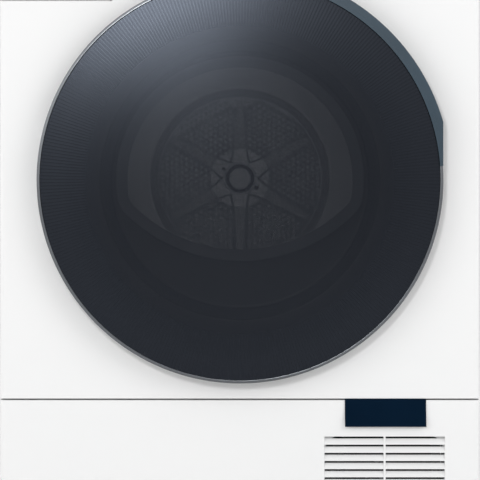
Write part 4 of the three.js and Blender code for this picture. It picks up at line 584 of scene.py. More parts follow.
def add_flap(paint):
    bottom = GRILLE_TOP - (GRILLE_ROWS - 1) * GRILLE_PITCH - GRILLE_SLOT

    def field(side, end, radius, steps=4):
        """The grille's outline grown at its sides and its ends."""
        width, height = (GRILLE_LEFT - side, GRILLE_RIGHT + side), (bottom - end, GRILLE_TOP + end)
        return rectangle(width, height, radius, steps)

    mesh = tray(FLAP_LOW, FLAP_HIGH, holes=[field(0, 0, 0.6 * MM)])
    skin, back = FRONT + SHEET, FRONT + 7 * MM
    pivot_y, pivot_z = FRONT + 13.5 * MM, FLAP_LOW.z + 9 * MM
    heels = slab("z", rectangle(around(0, HALF + PAST), (pivot_y + 8 * MM, FLAP_HIGH.y + PAST)),
                 FLAP_LOW.z - PAST, pivot_z + 1 * MM)
    parts = [bevelled(cut(mesh, heels), 0.5 * MM)]
    rib = around(GRILLE_MIDDLE, GRILLE_RIB / 2)
    columns = [(GRILLE_LEFT - 0.8 * MM, rib[0] + 0.5 * MM), (rib[1] - 0.5 * MM, GRILLE_RIGHT + 0.8 * MM)]
    for i in range(GRILLE_ROWS - 1):
        top = GRILLE_TOP - GRILLE_SLOT - i * GRILLE_PITCH
        parts += [louvre_slat(x0, x1, top, top - GRILLE_PITCH + GRILLE_SLOT) for x0, x1 in columns]
    length = (bottom - 2 * MM, GRILLE_TOP + 2 * MM)
    parts.append(bar(rib, (FRONT + 0.05 * MM, back), length, 0.3 * MM))
    parts += [bar((x0, x0 + 2 * MM), (skin - 0.2 * MM, back), length, 0.3 * MM)
              for x0 in (GRILLE_LEFT - 2 * MM, GRILLE_RIGHT)]
    # lugs on the two hinge pins
    near, far = HALF - 27.7 * MM, HALF - 19.7 * MM
    outline = [(skin - 0.5 * MM, pivot_z - 6 * MM), *arc(pivot_y, pivot_z, 6 * MM, 270, 450, 16),
               (skin - 0.5 * MM, pivot_z + 6 * MM)]
    for span in ((-far, -near), (near, far)):
        lug = slab("x", outline, *span, holes=[circle(pivot_y, pivot_z, 3.35 * MM, 24)])
        parts.append(bevelled(lug, 0.3 * MM, 2))
    finished("plinth_flap_skin", joined(*parts), paint, "flap", "plinth_flap")

    # inner frame with a round-cornered mouth, behind the slats
    plate = slab("y", field(6 * MM, 6 * MM, 6 * MM), back + 0.2 * MM, back + 2.2 * MM,
                 holes=[field(-0.3 * MM, 1.3 * MM, 25 * MM, 12)])
    finished("grille_inner_frame", bevelled(plate, 0.3 * MM, 2), paint, "flap")


def add_tab(paint):
    """Folded plastic tab hung over the flap's upper edge, its lower edge curling away from the flap."""
    low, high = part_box("flap_tab")
    sheet, hem, top = 1.4 * MM, 13 * MM, high.z
    curl = [(5 * MM * (i / 8) ** 2, top - 6 * MM - (top - 6.6 * MM - low.z) * i / 8) for i in range(1, 9)]
    face = [(low.y - out, z) for out, z in reversed(curl)]
    inside = [(low.y + sheet - out, z) for out, z in curl]
    hook = rounded([(low.y, top), (high.y, top), (high.y, top - hem), (high.y - sheet, top - hem),
                    (high.y - sheet, top - sheet), (low.y + sheet, top - sheet)],
                   mm(1.6, 1.6, 0.5, 0.5, 0.3, 0.3), 5)
    mesh = bevelled(slab("x", [*face, *hook, *inside], low.x, high.x - 1.4 * MM), 0.35 * MM, 3, 50)
    finished("flap_tab_cover", mesh, paint, "flap", "flap_tab")


# ---- door

GLASS_FRONT = GLASS_LOW.y
GLASS_RISE = 17 * MM
GLASS_THICKNESS = 4 * MM
CROWN_RADIUS = (GLASS_RADIUS ** 2 + GLASS_RISE ** 2) / (2 * GLASS_RISE)
FRAME_LOW, FRAME_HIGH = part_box("door_frame")
FRAME_FRONT, FRAME_BACK, FRAME_RADIUS = FRAME_LOW.y, FRAME_HIGH.y, FRAME_HIGH.x
LINER_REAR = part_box("door_liner")[1].y
PORT_RADIUS = 185 * MM
FRAME_INNER = PORT_RADIUS + 15 * MM
LINER_RADIUS = PORT_RADIUS - 9 * MM
LINER_WALL = 3 * MM
LINER_TAPER = 10 * MM


def crown(r):
    """y of the domed glass's front at a distance from the axis."""
    return GLASS_FRONT + CROWN_RADIUS - math.sqrt(CROWN_RADIUS ** 2 - r ** 2)


def add_glass(tinted, inner_face):
    """Domed glass: a crowned front with a ground edge, and a back face that follows it."""
    stations = [GLASS_RADIUS * i / 24 for i in range(24)]
    land = GLASS_RADIUS - 8 * MM
    edge = 0.8 * MM
    section = [*[(r, crown(r)) for r in stations],
               *arc(GLASS_RADIUS - edge, crown(GLASS_RADIUS - edge) + edge, edge, -80, 0, 5),
               (GLASS_RADIUS, GLASS_HIGH.y), (land, GLASS_HIGH.y),
               *[(r, crown(r) + GLASS_THICKNESS) for r in reversed(stations)]]
    mesh = lathe(section, 256)
    finished("door_glass_pane", mesh, tinted, "door", "door_glass", smooth=30)
    mesh.materials.append(inner_face)
    for polygon in mesh.polygons:
        middle = polygon.center
        r = math.hypot(middle.x, middle.z - AXIS_Z)
        if r < land and middle.y > crown(r) + GLASS_THICKNESS / 2:
            polygon.material_index = 1


def add_rim(metal):
    back = RIM_HIGH.y
    plate, hold = back - 1.5 * MM, FRAME_RADIUS - 12 * MM
    inner = GLASS_RADIUS + 0.15 * MM
    section = rounded([(hold, plate), (inner, plate), (inner, RIM_LOW.y),
                       (RIM_RADIUS + 0.5 * MM, RIM_LOW.y + 1.8 * MM), (RIM_RADIUS, RIM_LOW.y + 5 * MM),
                       (RIM_RADIUS, back), (hold, back)],
                      mm(0.3, 0.1, 0.8, 1.3, 1, 0.6, 0.3), 5)
    finished("door_rim_ring", lathe(section, 256), metal, "door", "door_rim", smooth=50)


def add_grip(paint):
    """Grip at the upper right: an arc round the rim, cut off level with it at the side and the top."""
    reach = RIM_RADIUS + 10 * MM
    inner = RIM_RADIUS + 0.6 * MM
    corner = math.degrees(math.acos(RIM_RADIUS / reach))
    tip = 8
    level = RIM_RADIUS * math.tan(math.radians(tip))
    low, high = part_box("door_grip")
    outline = [*arc(0, AXIS_Z, reach, corner, 90 - corner, 60), (level, AXIS_Z + RIM_RADIUS),
               *arc(0, AXIS_Z, inner, 90 - tip, tip, 90), (RIM_RADIUS, AXIS_Z + level)]
    shell = bevelled(slab("y", outline, low.y, high.y), 1 * MM, 4, 25)
    tongue = [*arc(0, AXIS_Z, RIM_RADIUS + 2 * MM, 20, 70, 24),
              *arc(0, AXIS_Z, FRAME_RADIUS + 0.3 * MM, 70, 20, 24)]
    back = slab("y", tongue, RIM_HIGH.y + 0.3 * MM, high.y)
    # thin lip that laps over the rim, up to the glass
    lap = [(RIM_RADIUS, AXIS_Z + level / 2), (RIM_RADIUS, AXIS_Z + level),
           *arc(0, AXIS_Z, inner + 1 * MM, 11, 79, 80), (level, AXIS_Z + RIM_RADIUS),
           (level / 2, AXIS_Z + RIM_RADIUS), *arc(0, AXIS_Z, GLASS_RADIUS + 0.2 * MM, 86, 4, 120)]
    lip = bevelled(slab("y", lap, low.y - 0.2 * MM, RIM_LOW.y - 0.25 * MM), 0.25 * MM, 2, 60)
    finished("door_grip_shell", joined(shell, back, lip), paint, "door", "door_grip")


def add_frame(plastic):
    """Moulded ring that carries the glass, with a shadow groove round its side."""
    groove, sunk = FRAME_BACK - 9 * MM, FRAME_RADIUS - 1 * MM
    section = rounded([(FRAME_INNER, FRAME_BACK), (FRAME_RADIUS - 4 * MM, FRAME_BACK),
                       (FRAME_RADIUS, FRAME_BACK - 4 * MM), (FRAME_RADIUS, groove), (sunk, groove - 0.4 * MM),
                       (sunk, groove - 1.6 * MM), (FRAME_RADIUS, groove - 2 * MM),
                       (FRAME_RADIUS, FRAME_FRONT), (FRAME_INNER, FRAME_FRONT)],
                      mm(1, 1.5, 1.5, 0.2, 0.2, 0.2, 0.2, 0.8, 0.8))
    finished("door_frame_ring", lathe(section, 192), plastic, "door", "door_frame")


def window_outline(grow=0.0):
    """The window's outline: an upper arc and a flatter lower one, joined by round corners."""
    top = LINER_RADIUS - 33 * MM + grow
    low = LINER_RADIUS + 15 * MM + grow
    low_centre = 102 * MM
    corner = 22 * MM + grow
    a, b = top - corner, low - corner
    z = (a * a - b * b + low_centre * low_centre) / (2 * low_centre)
    x = math.sqrt(a * a - z * z)
    top_angle = math.degrees(math.atan2(z, x))
    low_angle = math.degrees(math.atan2(z - low_centre, x))
    points = [*arc(0, 0, top, top_angle, 180 - top_angle, 60),
              *arc(-x, z, corner, 180 - top_angle, 180 - low_angle, 15)[1:-1],
              *arc(0, low_centre, low, 180 - low_angle, 360 + low_angle, 42),
              *arc(x, z, corner, low_angle, top_angle, 15)[1:-1]]
    return [(px, AXIS_Z + pz) for px, pz in points]


def add_liner(plastic, gloss, pane):
    rear = LINER_RADIUS - LINER_TAPER
    flange, front = FRAME_INNER - 0.3 * MM, FRAME_BACK - 1 * MM
    w = LINER_WALL
    section = rounded([(0, LINER_REAR), (rear, LINER_REAR), (LINER_RADIUS, FRAME_BACK + w),
                       (flange, FRAME_BACK + w - 0.3 * MM), (flange, front), (LINER_RADIUS - w, front),
                       (rear - w, LINER_REAR - w), (0, LINER_REAR - w)], mm(0, 8, 2, 0.8, 0.5, 3, 6, 0), 6)
    opening = slab("y", window_outline(), LINER_REAR - 2 * w, LINER_REAR + w)
    mesh = bevelled(cut(lathe(section), opening), 0.5 * MM, 2, 50)
    finished("door_liner_dish", mesh, plastic, "door", "door_liner")

    # trim that frames the window on the side of the glass
    trim = slab("y", window_outline(13.5 * MM), LINER_REAR - w - 7.5 * MM, LINER_REAR - w - 4.6 * MM,
                holes=[window_outline(-1 * MM)])
    finished("window_trim", bevelled(trim, 1.1 * MM, 4), gloss, "door")

    low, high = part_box("door_window")
    glass = slab("y", window_outline(8 * MM), low.y, high.y)
    finished("door_window_pane", bevelled(glass, 0.8 * MM), pane, "door", "door_window")


def add_seal(material):
    low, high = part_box("door_seal")
    inner, outer = 187 * MM, 197 * MM
    section = rounded([(inner, low.y), (outer, low.y), (outer, low.y + 3 * MM),
                       (outer - 3 * MM, low.y + 4.5 * MM), (outer - 1.5 * MM, high.y),
                       (outer - 3.5 * MM, high.y), (outer - 5 * MM, low.y + 6.5 * MM),
                       (inner + 3.5 * MM, high.y), (inner + 1.5 * MM, high.y),
                       (inner + 2 * MM, low.y + 4 * MM)],
                      mm(0.8, 0.8, 0.8, 0.8, 0.7, 0.7, 1, 0.7, 0.7, 0.8))
    finished("door_seal_lip", lathe(section), material, "door", "door_seal")


# ---- drum

DRUM_RADIUS = DRUM_HIGH.x
DRUM_SHEET = WALL_SHEET = 2 * MM
WALL_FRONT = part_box("drum_rear_wall")[1].y - WALL_SHEET
FIELD_FRONT = WALL_FRONT - 12 * MM
FIELD_RADIUS = 118 * MM
RING_RADIUS = 132 * MM
SHAFT_RADIUS = 10 * MM
FRONT_LIP, BACK_LIP = mm(262, 268)
HOLE_PITCH, HOLE_RADIUS = mm(8.15, 2.5)
COLUMN_STEP = 0.866 * HOLE_PITCH
SPOKE_INNER, SPOKE_OUTER = mm(8.5, 4.5)  # half widths at the hub and at the rim
SPOKE_START, SPOKE_END = mm(36, 114)
SPOKE_ANGLES = [math.radians(30 + 60 * i) for i in range(6)]


def add_drum_shell(steel):
    """Rolled shell with pressed beads round it and a lip at each end."""
    inner = DRUM_RADIUS - DRUM_SHEET
    front, back = DRUM_LOW.y, DRUM_HIGH.y
    beads = [front + share * (back - front) for share in (0.16, 0.4, 0.64, 0.88)]
    inside, outside = [], []
    for y in beads:
        for k in range(-4, 5):
            rise = 1.6 * MM * (0.5 + 0.5 * math.cos(math.pi * k / 4))
            inside.append((inner - rise, y + k * 1.6 * MM))
            outside.append((DRUM_RADIUS - rise, y + k * 1.6 * MM))
    section = [(FRONT_LIP, front), (DRUM_RADIUS - 1 * MM, front), (DRUM_RADIUS, front + 1 * MM), *outside,
               (DRUM_RADIUS, back - 1 * MM), (DRUM_RADIUS - 1 * MM, back), (BACK_LIP, back),
               (BACK_LIP, back - DRUM_SHEET), (inner, back - DRUM_SHEET), *reversed(inside),
               (inner, front + 5 * MM), (inner - 3 * MM, front + DRUM_SHEET), (FRONT_LIP, front + DRUM_SHEET)]
    finished("drum_shell_steel", lathe(section, 192), steel, "drum", "drum_shell")


def lattice_holes():
    """Holes in a triangular lattice, kept off the hub, the spokes and the edge of the field."""
    holes = []
    columns = int(FIELD_RADIUS / COLUMN_STEP) + 1
    for j in range(-columns, columns + 1):
        for i in range(-columns - 2, columns + 3):
            x, z = j * COLUMN_STEP, (i + 0.5 * (j % 2)) * HOLE_PITCH
            r, angle = math.hypot(x, z), math.atan2(z, x)
            off_spoke = min(abs(math.sin(angle - spoke)) * r for spoke in SPOKE_ANGLES[:3])
            half = SPOKE_INNER + (SPOKE_OUTER - SPOKE_INNER) * (r - 42 * MM) / (72 * MM)
            edge = 111 * MM / max(0.93, math.cos(angle % (math.pi / 3) - math.pi / 6))
            if 38 * MM < r < edge and off_spoke > half + 3 * MM:
                holes.append(circle(x, AXIS_Z + z, HOLE_RADIUS, 10))
    return holes


def add_drum_rear_wall(satin, painted_shade_spoke_steel, steel, grey):
    """Dished steel wall: a perforated field with six pressed spokes, inside a sunk ring. The spokes take a
    darker copy of the field's steel and the skirt a lighter one, as painted shade and painted sheen; a grey
    ring laid in the sunk ring is painted shade.
    """
    shaft_hole = circle(0, AXIS_Z, SHAFT_RADIUS + 0.3 * MM, 32)
    field = slab("y", circle(0, AXIS_Z, FIELD_RADIUS, 120), FIELD_FRONT, FIELD_FRONT + WALL_SHEET,
                 holes=[shaft_hole, *lattice_holes()])
    outer = DRUM_RADIUS - DRUM_SHEET - 0.3 * MM
    sunk = [(FIELD_RADIUS + (RING_RADIUS - FIELD_RADIUS) * k / 8,
             FIELD_FRONT + 4 * MM * math.sin(math.pi * k / 8) ** 2) for k in range(1, 8)]
    front = [(FIELD_RADIUS - 0.2 * MM, FIELD_FRONT), *sunk, (RING_RADIUS, FIELD_FRONT),
             (RING_RADIUS + 4 * MM, FIELD_FRONT + 0.4 * MM), (outer - 12 * MM, WALL_FRONT - 0.8 * MM),
             (outer - 4 * MM, WALL_FRONT), (outer, WALL_FRONT)]
    section = front + [(r, y + WALL_SHEET) for r, y in reversed(front)]
    # the skirt in a lighter, more metallic copy of the field's steel: painted sheen on the smooth outer zone
    finished("drum_rear_wall_skirt", lathe(section), steel, "drum")
    finished("drum_rear_wall_field", field, satin, "drum", "drum_rear_wall")

    # the pressed spokes in a darker copy of the field's steel: painted shade
    outline = rounded([(SPOKE_START, -SPOKE_INNER), (SPOKE_END, -SPOKE_OUTER), (SPOKE_END, SPOKE_OUTER),
                       (SPOKE_START, SPOKE_INNER)], mm(1, 4.4, 4.4, 1), 6)
    spoke = bevelled(slab("y", outline, FIELD_FRONT - 3 * MM, FIELD_FRONT + 1 * MM), 2 * MM, 4, 50)
    spokes = [turned(spoke.copy(), angle) for angle in SPOKE_ANGLES]
    finished("drum_rear_wall_spokes", joined(*spokes), painted_shade_spoke_steel, "drum")

    # a grey ring laid in the sunk ring, over the sloped steel: painted shade where that slope falls darker
    near, far = FIELD_FRONT + 0.4 * MM, FIELD_FRONT + 5 * MM
    ring = rounded([(FIELD_RADIUS + 1 * MM, near), (RING_RADIUS - 1 * MM, near), (RING_RADIUS - 3 * MM, far),
                    (FIELD_RADIUS + 3 * MM, far)], 0.4 * MM, 3)
    finished("drum_rear_wall_painted_shade_ring", lathe(ring), grey, "drum")


def add_hub(cast, fixing):
    """Cast hub on the drum's shaft: a turned boss on a six-fingered star, a rubber ring and two screws."""
    low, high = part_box("drum_hub")
    face, back, base = low.y, high.y, FIELD_FRONT - 0.3 * MM
    groove = face + 4 * MM
    section = rounded([(0, face + 0.8 * MM), (14.5 * MM, face + 0.8 * MM), (15.2 * MM, groove),
                       (21 * MM, groove), (21.8 * MM, face + 1.5 * MM), (23.5 * MM, face + 2.5 * MM),
                       (26 * MM, base), (SHAFT_RADIUS, base), (SHAFT_RADIUS, back), (0, back)],
                      mm(0, 1, 0.5, 0.5, 0.6, 1, 0.5, 0, 0.8, 0), 5)
    star, pads = [], []
    for angle in SPOKE_ANGLES:
        across, up = math.cos(angle), math.sin(angle)
        star += [(43 * MM * across - half * up, AXIS_Z + 43 * MM * up + half * across)
                 for half in mm(-8.5, 8.5)]
        notch = angle + math.pi / 6
        star.append((24.5 * MM * math.cos(notch), AXIS_Z + 24.5 * MM * math.sin(notch)))
        pad = rounded([(28.5 * MM, 0), *arc(0, 0, 42 * MM, -15, 15, 8)], 1 * MM, 3)
        pad = bevelled(slab("y", pad, base - 6 * MM, base + 0.2 * MM), 0.8 * MM, 3, 50)
        pads.append(turned(pad, angle - math.pi / 6))
    plate = bevelled(slab("y", rounded(star, 2.5 * MM, 5), base - 8 * MM, base + 0.2 * MM), 1.5 * MM, 4, 50)
    finished("drum_hub_boss", joined(lathe(section, 96), plate, *pads), cast, "drum", "drum_hub")

    ring = rectangle(mm(15.6, 20.6), (groove - 1.6 * MM, groove + 0.3 * MM), 0.8 * MM, 3)
    fixings = [lathe(ring, 64)]
    y = base - 8 * MM
    head = rounded(rectangle((0, 2.8 * MM), (y - 2 * MM, y + 0.5 * MM)), mm(0, 1.2, 0, 0))
    for x, z in arc(0, AXIS_Z, 27.5 * MM, 150, 330, 1):
        socket = slab("y", circle(x, z, 1.5 * MM, 6), y - 3 * MM, y - 0.9 * MM)
        fixings.append(cut(lathe(head, 20, (x, z)), socket))
    finished("drum_hub_fixings", joined(*fixings), fixing, "drum")


def add_lifters(plastic):
    for i in (1, 2, 3):
        node = f"lifter_{i}"
        finished(f"lifter_paddle_{i}", from_node(node, 5 * MM, 5, 30), plastic, "drum", node)


# ---- case and controls

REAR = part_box("rear_panel")[1].y


def mirrored(mesh):
    mesh.transform(Matrix.Scale(-1, 4, (1, 0, 0)))
    mesh.flip_normals()
    return mesh


def add_worktop(paint):
    low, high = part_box("worktop")
    outline = rounded(rectangle((low.y, high.y), (low.z, high.z)), mm(1.5, 1.5, 2, 7), 8)
    board = bevelled(slab("x", outline, low.x, high.x), 2.5 * MM, 4, 50)
    wall = 12 * MM
    mouth = rectangle((low.x + wall, high.x - wall), (low.y + 2 * wall, high.y - wall), 4 * MM)
    hollow = slab("z", mouth, low.z - PAST, high.z - wall)
    finished("worktop_board", cut(board, hollow), paint, "casing", "worktop")


def add_side_panels(paint):
    """Folded sheet with a shallow pressed swage round the middle of its face."""
    low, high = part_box("side_panel_right")
    inner = high.x - SHEET
    outline = rounded([(high.x, low.y), (high.x, high.y), (inner, high.y), (inner, low.y + SHEET),
                       (low.x, low.y + SHEET), (low.x, low.y)], mm(2.6, 0.5, 0.5, 0.8, 0.5, 0.5), 6)

    def field(inset, radius):
        """The swage's outline, drawn in from its outer edge."""
        side, end = 60 * MM + inset, 80 * MM + inset
        return rectangle((low.y + side, high.y - side), (low.z + end, high.z - end), radius, 8)

    swage = slab("x", field(0, 34 * MM), high.x - 0.9 * MM, high.x + PAST, holes=[field(9 * MM, 26 * MM)])
    for name, finish in (("side_panel_right", lambda mesh: mesh), ("side_panel_left", mirrored)):
        mesh = bevelled(cut(slab("z", outline, low.z, high.z), swage.copy()), 0.8 * MM, 3, 50)
        finished(f"{name}_skin", finish(mesh), paint, "casing", name)


CONTROL_Z = centre("selector_knob").z
KNOB_X = centre("selector_knob").x
BUTTON_X = centre("start_button").x
SCREEN_RIGHT = HALF - 72 * MM
SCREEN_LEFT = SCREEN_RIGHT - 108 * MM
SCREEN_HEIGHT = 34 * MM
PRINT = 0.15 * MM  # how far print stands off the panel
LIT = (FRONT, FRONT + 0.3 * MM)  # the depth of the display's marks


def add_fascia(paint, ink):
    window = rectangle((SCREEN_LEFT, SCREEN_RIGHT), around(CONTROL_Z, SCREEN_HEIGHT / 2), 2 * MM)
    holes = [window, circle(KNOB_X, CONTROL_Z, 4.4 * MM, 32), circle(BUTTON_X, CONTROL_Z, 11.4 * MM)]
    mesh = bevelled(tray(*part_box("control_fascia"), 3 * MM, holes), 0.5 * MM)
    finished("control_fascia_skin", mesh, paint, "casing", "control_fascia")
    # printed dots round the selector, the longer mark at rest
    printed = (FRONT - PRINT, FRONT + 0.5 * MM)
    dots = [slab("y", circle(x, z, 1 * MM, 16), *printed)
            for x, z in arc(KNOB_X, CONTROL_Z, 29 * MM, 60, -240, 10)]
    dots.append(bar(around(KNOB_X, 0.8 * MM), printed, around(CONTROL_Z + 29 * MM, 2.5 * MM), 0))
    finished("fascia_marks", joined(*dots), ink, "casing")


# strokes of the display's marks: the corner in shares of a mark's width and height, and whether it lies flat
LEFT, RIGHT = (0, 0, False), (1, 0, False)
TOP, MIDDLE, BOTTOM = (0, 1, True), (0, 0.5, True), (0, 0, True)
# each mark's place along the display in millimetres, and its strokes
MARKS = ((30, (RIGHT, RIGHT)), (44, (LEFT, RIGHT, MIDDLE, RIGHT)), (57, (TOP, LEFT, MIDDLE, RIGHT, BOTTOM)))


def mark_bars(strokes, x, z, high=14 * MM, thick=1.1 * MM):
    """The strokes of one mark as thin bars; an upright stroke is half as high as the mark."""
    wide = high * 0.52
    sizes = [(wide + thick, thick) if flat else (thick, high / 2) for _, _, flat in strokes]
    corners = [(x + u * wide, z + v * high) for u, v, _ in strokes]
    return [bar((x0, x0 + across), LIT, (z0, z0 + up), 0) for (x0, z0), (across, up) in zip(corners, sizes)]


def add_display(glass, light):
    finished("display_screen", from_node("display_module", 0.4 * MM), glass, "casing", "display_module")
    marks = []
    for x, strokes in MARKS:
        marks += mark_bars(strokes, SCREEN_LEFT + x * MM, CONTROL_Z - 5 * MM)
    marks += [slab("y", circle(SCREEN_LEFT + 41 * MM, CONTROL_Z + z, 0.8 * MM, 12), *LIT) for z in mm(-1, 4)]
    for i in range(5):
        x = SCREEN_LEFT + (14 + 18 * i) * MM
        marks.append(bar((x, x + 8 * MM), LIT, around(CONTROL_Z - 11.6 * MM, 0.6 * MM), 0))
    finished("display_marks", joined(*marks), light, "casing")


def fluted(x, z, radius, depth, count, period):
    """A circle of points that step in by a depth for the second half of each period."""
    radii = [radius - depth * (i % period >= period / 2) for i in range(count)]
    return [(x + r * math.cos(TAU * i / count), z + r * math.sin(TAU * i / count))
            for i, r in enumerate(radii)]


def add_selector(metal, ink):
    low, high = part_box("selector_knob")
    radius, face = (high.x - low.x) / 2, low.y
    rim = fluted(KNOB_X, CONTROL_Z, radius, 0.5 * MM, 144, 2)
    grip = bevelled(slab("y", rim, face + 2.5 * MM, FRONT - 0.3 * MM), 0.25 * MM, 2, 60)
    section = rounded([(0, face + 1.2 * MM), (radius - 6 * MM, face + 1.2 * MM), (radius - 4 * MM, face),
                       (radius - 1.4 * MM, face), (radius - 0.8 * MM, face + 3 * MM), (4 * MM, face + 3 * MM),
                       (4 * MM, high.y), (0, high.y)], mm(0, 3, 1, 1, 0.3, 0, 0.3, 0), 6)
    cap = lathe(section, 96, (KNOB_X, CONTROL_Z))
    finished("selector_cap", joined(grip, cap), metal, "selector", "selector_knob")
    mark = bar(around(KNOB_X, 0.8 * MM), (face + 0.9 * MM, face + 1.4 * MM),
               (CONTROL_Z + 7 * MM, CONTROL_Z + radius - 7 * MM), 0.2 * MM)
    finished("selector_mark", mark, ink, "selector")


def add_button(metal, ink):
    low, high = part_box("start_button")
    face, collar = low.y, FRONT + 3.3 * MM
    section = rounded([(0, face + 0.8 * MM), (8 * MM, face + 0.5 * MM), (10 * MM, face),
                       (11 * MM, face + 0.6 * MM), (11 * MM, collar), (13.5 * MM, collar),
                       (13.5 * MM, collar + 1.7 * MM), (4 * MM, collar + 1.7 * MM), (4 * MM, high.y),
                       (0, high.y)], mm(0, 2, 0.6, 0.5, 0, 0.2, 0.2, 0, 0.3, 0), 5)
    finished("start_cap", lathe(section, 72, (BUTTON_X, CONTROL_Z)), metal, "button", "start_button")
    y, z = (face + 0.3 * MM, face + 1 * MM), around(CONTROL_Z, 3 * MM)
    wedge = [(BUTTON_X - 4.4 * MM, z[0]), (BUTTON_X + 0.4 * MM, CONTROL_Z), (BUTTON_X - 4.4 * MM, z[1])]
    bars = [bar((BUTTON_X + x, BUTTON_X + x + 1 * MM), y, z, 0) for x in mm(1.6, 3.6)]
    finished("start_sign", joined(slab("y", wedge, *y), *bars), ink, "button")


def screw(x, z, y):
    """Pan-head screw with a cross recess whose head stands away from y."""
    section = rounded(rectangle((0, 3.6 * MM), (y - 0.5 * MM, y + 2.2 * MM)), mm(0, 0, 1.2, 0))
    cross = [bar(around(x, a), (y + 1 * MM, y + 3.2 * MM), around(z, b), 0)
             for a, b in (mm(2.1, 0.45), mm(0.45, 2.1))]
    return cut(lathe(section, 24, (x, z)), *cross)


def add_rear(zinc, steel):
    vents = [slab("y", rectangle(around((12 * i - 54) * MM, 2 * MM), mm(736, 786), 1.9 * MM),
                  REAR - PAST, REAR + PAST) for i in range(10)]
    spans = (mm(-236, -222), mm(90, 680)), (mm(222, 236), mm(250, 680)), (mm(-190, 190), mm(692, 704))
    beads = [bar(x, (REAR - 0.5 * MM, REAR + 1.4 * MM), z, 1.3 * MM, 3) for x, z in spans]
    sheet = joined(cut(from_node("rear_panel", 0.4 * MM), *vents), *beads)
    finished("rear_sheet", sheet, zinc, "casing", "rear_panel")
    places = [(x, z) for x in mm(-286, 286) for z in mm(40, 240, 430, 620, 800)]
    places += [(x, z) for x in mm(-140, 0, 140) for z in mm(30, 808)]
    places += duct_outline(8 * MM)[::5]
    finished("rear_screws", joined(*[screw(x, z, REAR + 0.6 * MM) for x, z in places]), steel, "casing")


def duct_outline(grow):
    """A large circle over the drum's rear and a small one over the fan, joined by their tangents."""
    low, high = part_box("rear_duct_cover")
    fan = centre("motor_shaft")
    big, small = high.z - AXIS_Z + grow, fan.z - low.z + grow
    dx, dz = fan.x, fan.z - AXIS_Z
    heading = math.degrees(math.atan2(dz, dx))
    spread = math.degrees(math.acos((big - small) / math.hypot(dx, dz)))
    return (arc(0, AXIS_Z, big, heading + spread, heading - spread + 360, 60)
            + arc(fan.x, fan.z, small, heading - spread, heading + spread, 30))


def add_rear_duct(zinc):
    low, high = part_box("rear_duct_cover")
    wall = 1.5 * MM
    shell = bevelled(slab("y", duct_outline(0), low.y, high.y), 6 * MM, 5, 60)
    hollow = slab("y", duct_outline(-wall), low.y - PAST, high.y - wall)
    flange = slab("y", duct_outline(14 * MM), low.y, low.y + 1 * MM, holes=[duct_outline(-0.4 * MM)])
    foot, crest = high.y - 0.5 * MM, high.y + 1.2 * MM
    ring = lathe([(112 * MM, foot), (114 * MM, crest), (122 * MM, crest), (124 * MM, foot)], 128)
    cover = joined(cut(shell, hollow), bevelled(flange, 0.3 * MM, 2), ring)
    finished("rear_duct_shell", cover, zinc, "casing", "rear_duct_cover")


def add_inlet(dark, steel):
    finished("power_inlet_body", from_node("power_inlet", 0.8 * MM, 3), dark, "casing", "power_inlet")
    place = centre("power_inlet")
    depth = around(REAR - 11.95 * MM, 0.25 * MM)
    pads = [bar(around(place.x + x, 2 * MM), depth, around(place.z + z, 1 * MM), 0)
            for x, z in (mm(-6, -2), mm(6, -2), mm(0, 3))]
    finished("power_contacts", joined(*pads), steel, "casing")


def add_feet(plastic):
    for place in ("front_left", "front_right", "rear_left", "rear_right"):
        node = f"foot_{place}"
        low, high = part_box(node)
        x, y, radius = (low.x + high.x) / 2, (low.y + high.y) / 2, (high.x - low.x) / 2
        outline = fluted(x, y, radius, 0.8 * MM, 96, 4)
        pad = bevelled(slab("z", outline, low.z, 14 * MM), 1.2 * MM, 3, 60)
        nut = bevelled(slab("z", circle(x, y, radius / 2, 6), 13.5 * MM, 17.5 * MM), 0.6 * MM, 2)
        stem = slab("z", circle(x, y, 5 * MM, 24), 17 * MM, high.z)
        finished(f"{node}_pad", joined(pad, nut, stem), plastic, body_of(node), node)


def add_port_ring(plastic):
    """Moulded ring that lines the mouth of the port."""
    section = rectangle((PORT_RADIUS, 202 * MM), (FRONT + 10.7 * MM, FRONT + 11.9 * MM), 0.3 * MM, 3)
    finished("port_ring", lathe(section, 192), plastic, "casing")


# ---- the making

add_camera()
add_lights()
add_world()

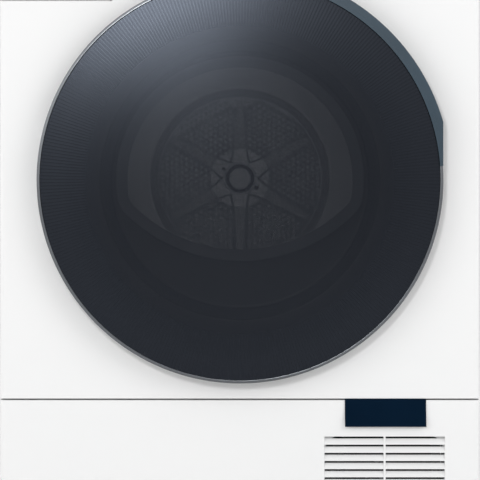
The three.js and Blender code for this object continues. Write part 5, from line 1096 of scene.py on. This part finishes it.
white = enamel()
steel = brushed("drum_steel", linear(205, 207, 209), 0.3)
satin = brushed("drum_wall_steel", linear(205, 208, 211), 0.45, strength=0.08, metallic=0.15)
# darker copy of the drum wall's steel for its pressed spokes: painted shade
painted_shade_spoke_steel = brushed("drum_spoke_steel_painted_shade", linear(182, 185, 188), 0.45, strength=0.08, metallic=0.15)
# lighter, more metallic copy of the drum wall's steel for its outer skirt: painted sheen
painted_sheen_skirt_steel = brushed("drum_skirt_steel_painted_sheen", linear(212, 214, 216), 0.5, strength=0.08, metallic=0.3)
rim_metal = brushed("rim_metal", linear(112, 115, 119), 0.3, (3, 3, 3), 0.03)
dark = moulded("dark_plastic", linear(34, 35, 38), 0.5)
gloss_dark = moulded("gloss_trim", linear(36, 38, 41), 0.18, 0.03)
petrol = moulded("petrol_grip", linear(44, 61, 73), 0.38, 0.08, 0.3)
navy = moulded("navy_tab", linear(6, 24, 41), 0.55, 0.2, 0.02)
black = rubber()
zinc = galvanised()
grey = moulded("grey_plastic", linear(154, 158, 161), 0.5)
light_grey = moulded("light_grey_plastic", linear(205, 207, 208), 0.5)
cast = moulded("cast_aluminium", linear(222, 224, 227), 0.4, 0.3)
# grey of the ring laid in the drum wall's sunk ring: painted shade
painted_shade_ring = moulded("painted_shade_ring", linear(142, 145, 149), 0.5)
trim = moulded("window_trim", linear(110, 113, 117), 0.3, 0.03)

add_front_panels(white)
add_seam_strips(white)
add_flap(white)
add_tab(navy)
add_glass(tinted_glass(), glass_inner_face())
add_rim(rim_metal)
add_grip(petrol)
add_frame(dark)
add_liner(dark, trim, window_pane())
add_seal(black)
add_drum_shell(steel)
add_drum_rear_wall(satin, painted_shade_spoke_steel, painted_sheen_skirt_steel, painted_shade_ring)
add_hub(cast, dark)
add_lifters(dark)
add_worktop(white)
add_side_panels(white)
add_fascia(white, grey)
add_display(gloss_dark, light_grey)
add_selector(rim_metal, dark)
add_button(rim_metal, dark)
add_rear(zinc, steel)
add_rear_duct(zinc)
add_inlet(dark, steel)
add_feet(dark)
add_port_ring(grey)


def add_floor():
    bm = bmesh.new()
    bmesh.ops.create_grid(bm, x_segments=1, y_segments=1, size=14)
    mesh = bpy.data.meshes.new("floor")
    bm.to_mesh(mesh)
    bm.free()
    shade = Shader("floor", linear(238, 238, 238), 0.6)
    shade.vary_color(shade.ramp(shade.noise(2, 4), 0, 0.4), linear(233, 233, 233))
    mesh.materials.append(shade.bump(shade.noise(60, 3), 0.05, 1 * MM).material)
    placed("floor", mesh)


add_floor()

# the solids inside the case keep the CAD's shapes, with their edges broken
SLOT_PAINTS = {
    "dark_plastic": dark, "drum_steel": steel, "fin_aluminium": steel, "grey_plastic": grey,
    "seal_rubber": black, "zinc_sheet": zinc,
}
for part in frame["record"]["subparts"]:
    node, slot = part["node"], part["material_slot"]
    if not frame["nodes"][node].hide_render:
        finished(f"{node}_solid", from_node(node), SLOT_PAINTS[slot], body_of(node), node, slot=slot)

for piece in bpy.context.scene.objects:
    if piece.type == "MESH" and piece.name.startswith(("door_", "grip", "glass")):
        bpy.data.collections["gloss_of_the_door"].objects.link(piece)

scene = bpy.context.scene
scene.view_settings.view_transform = "Standard"
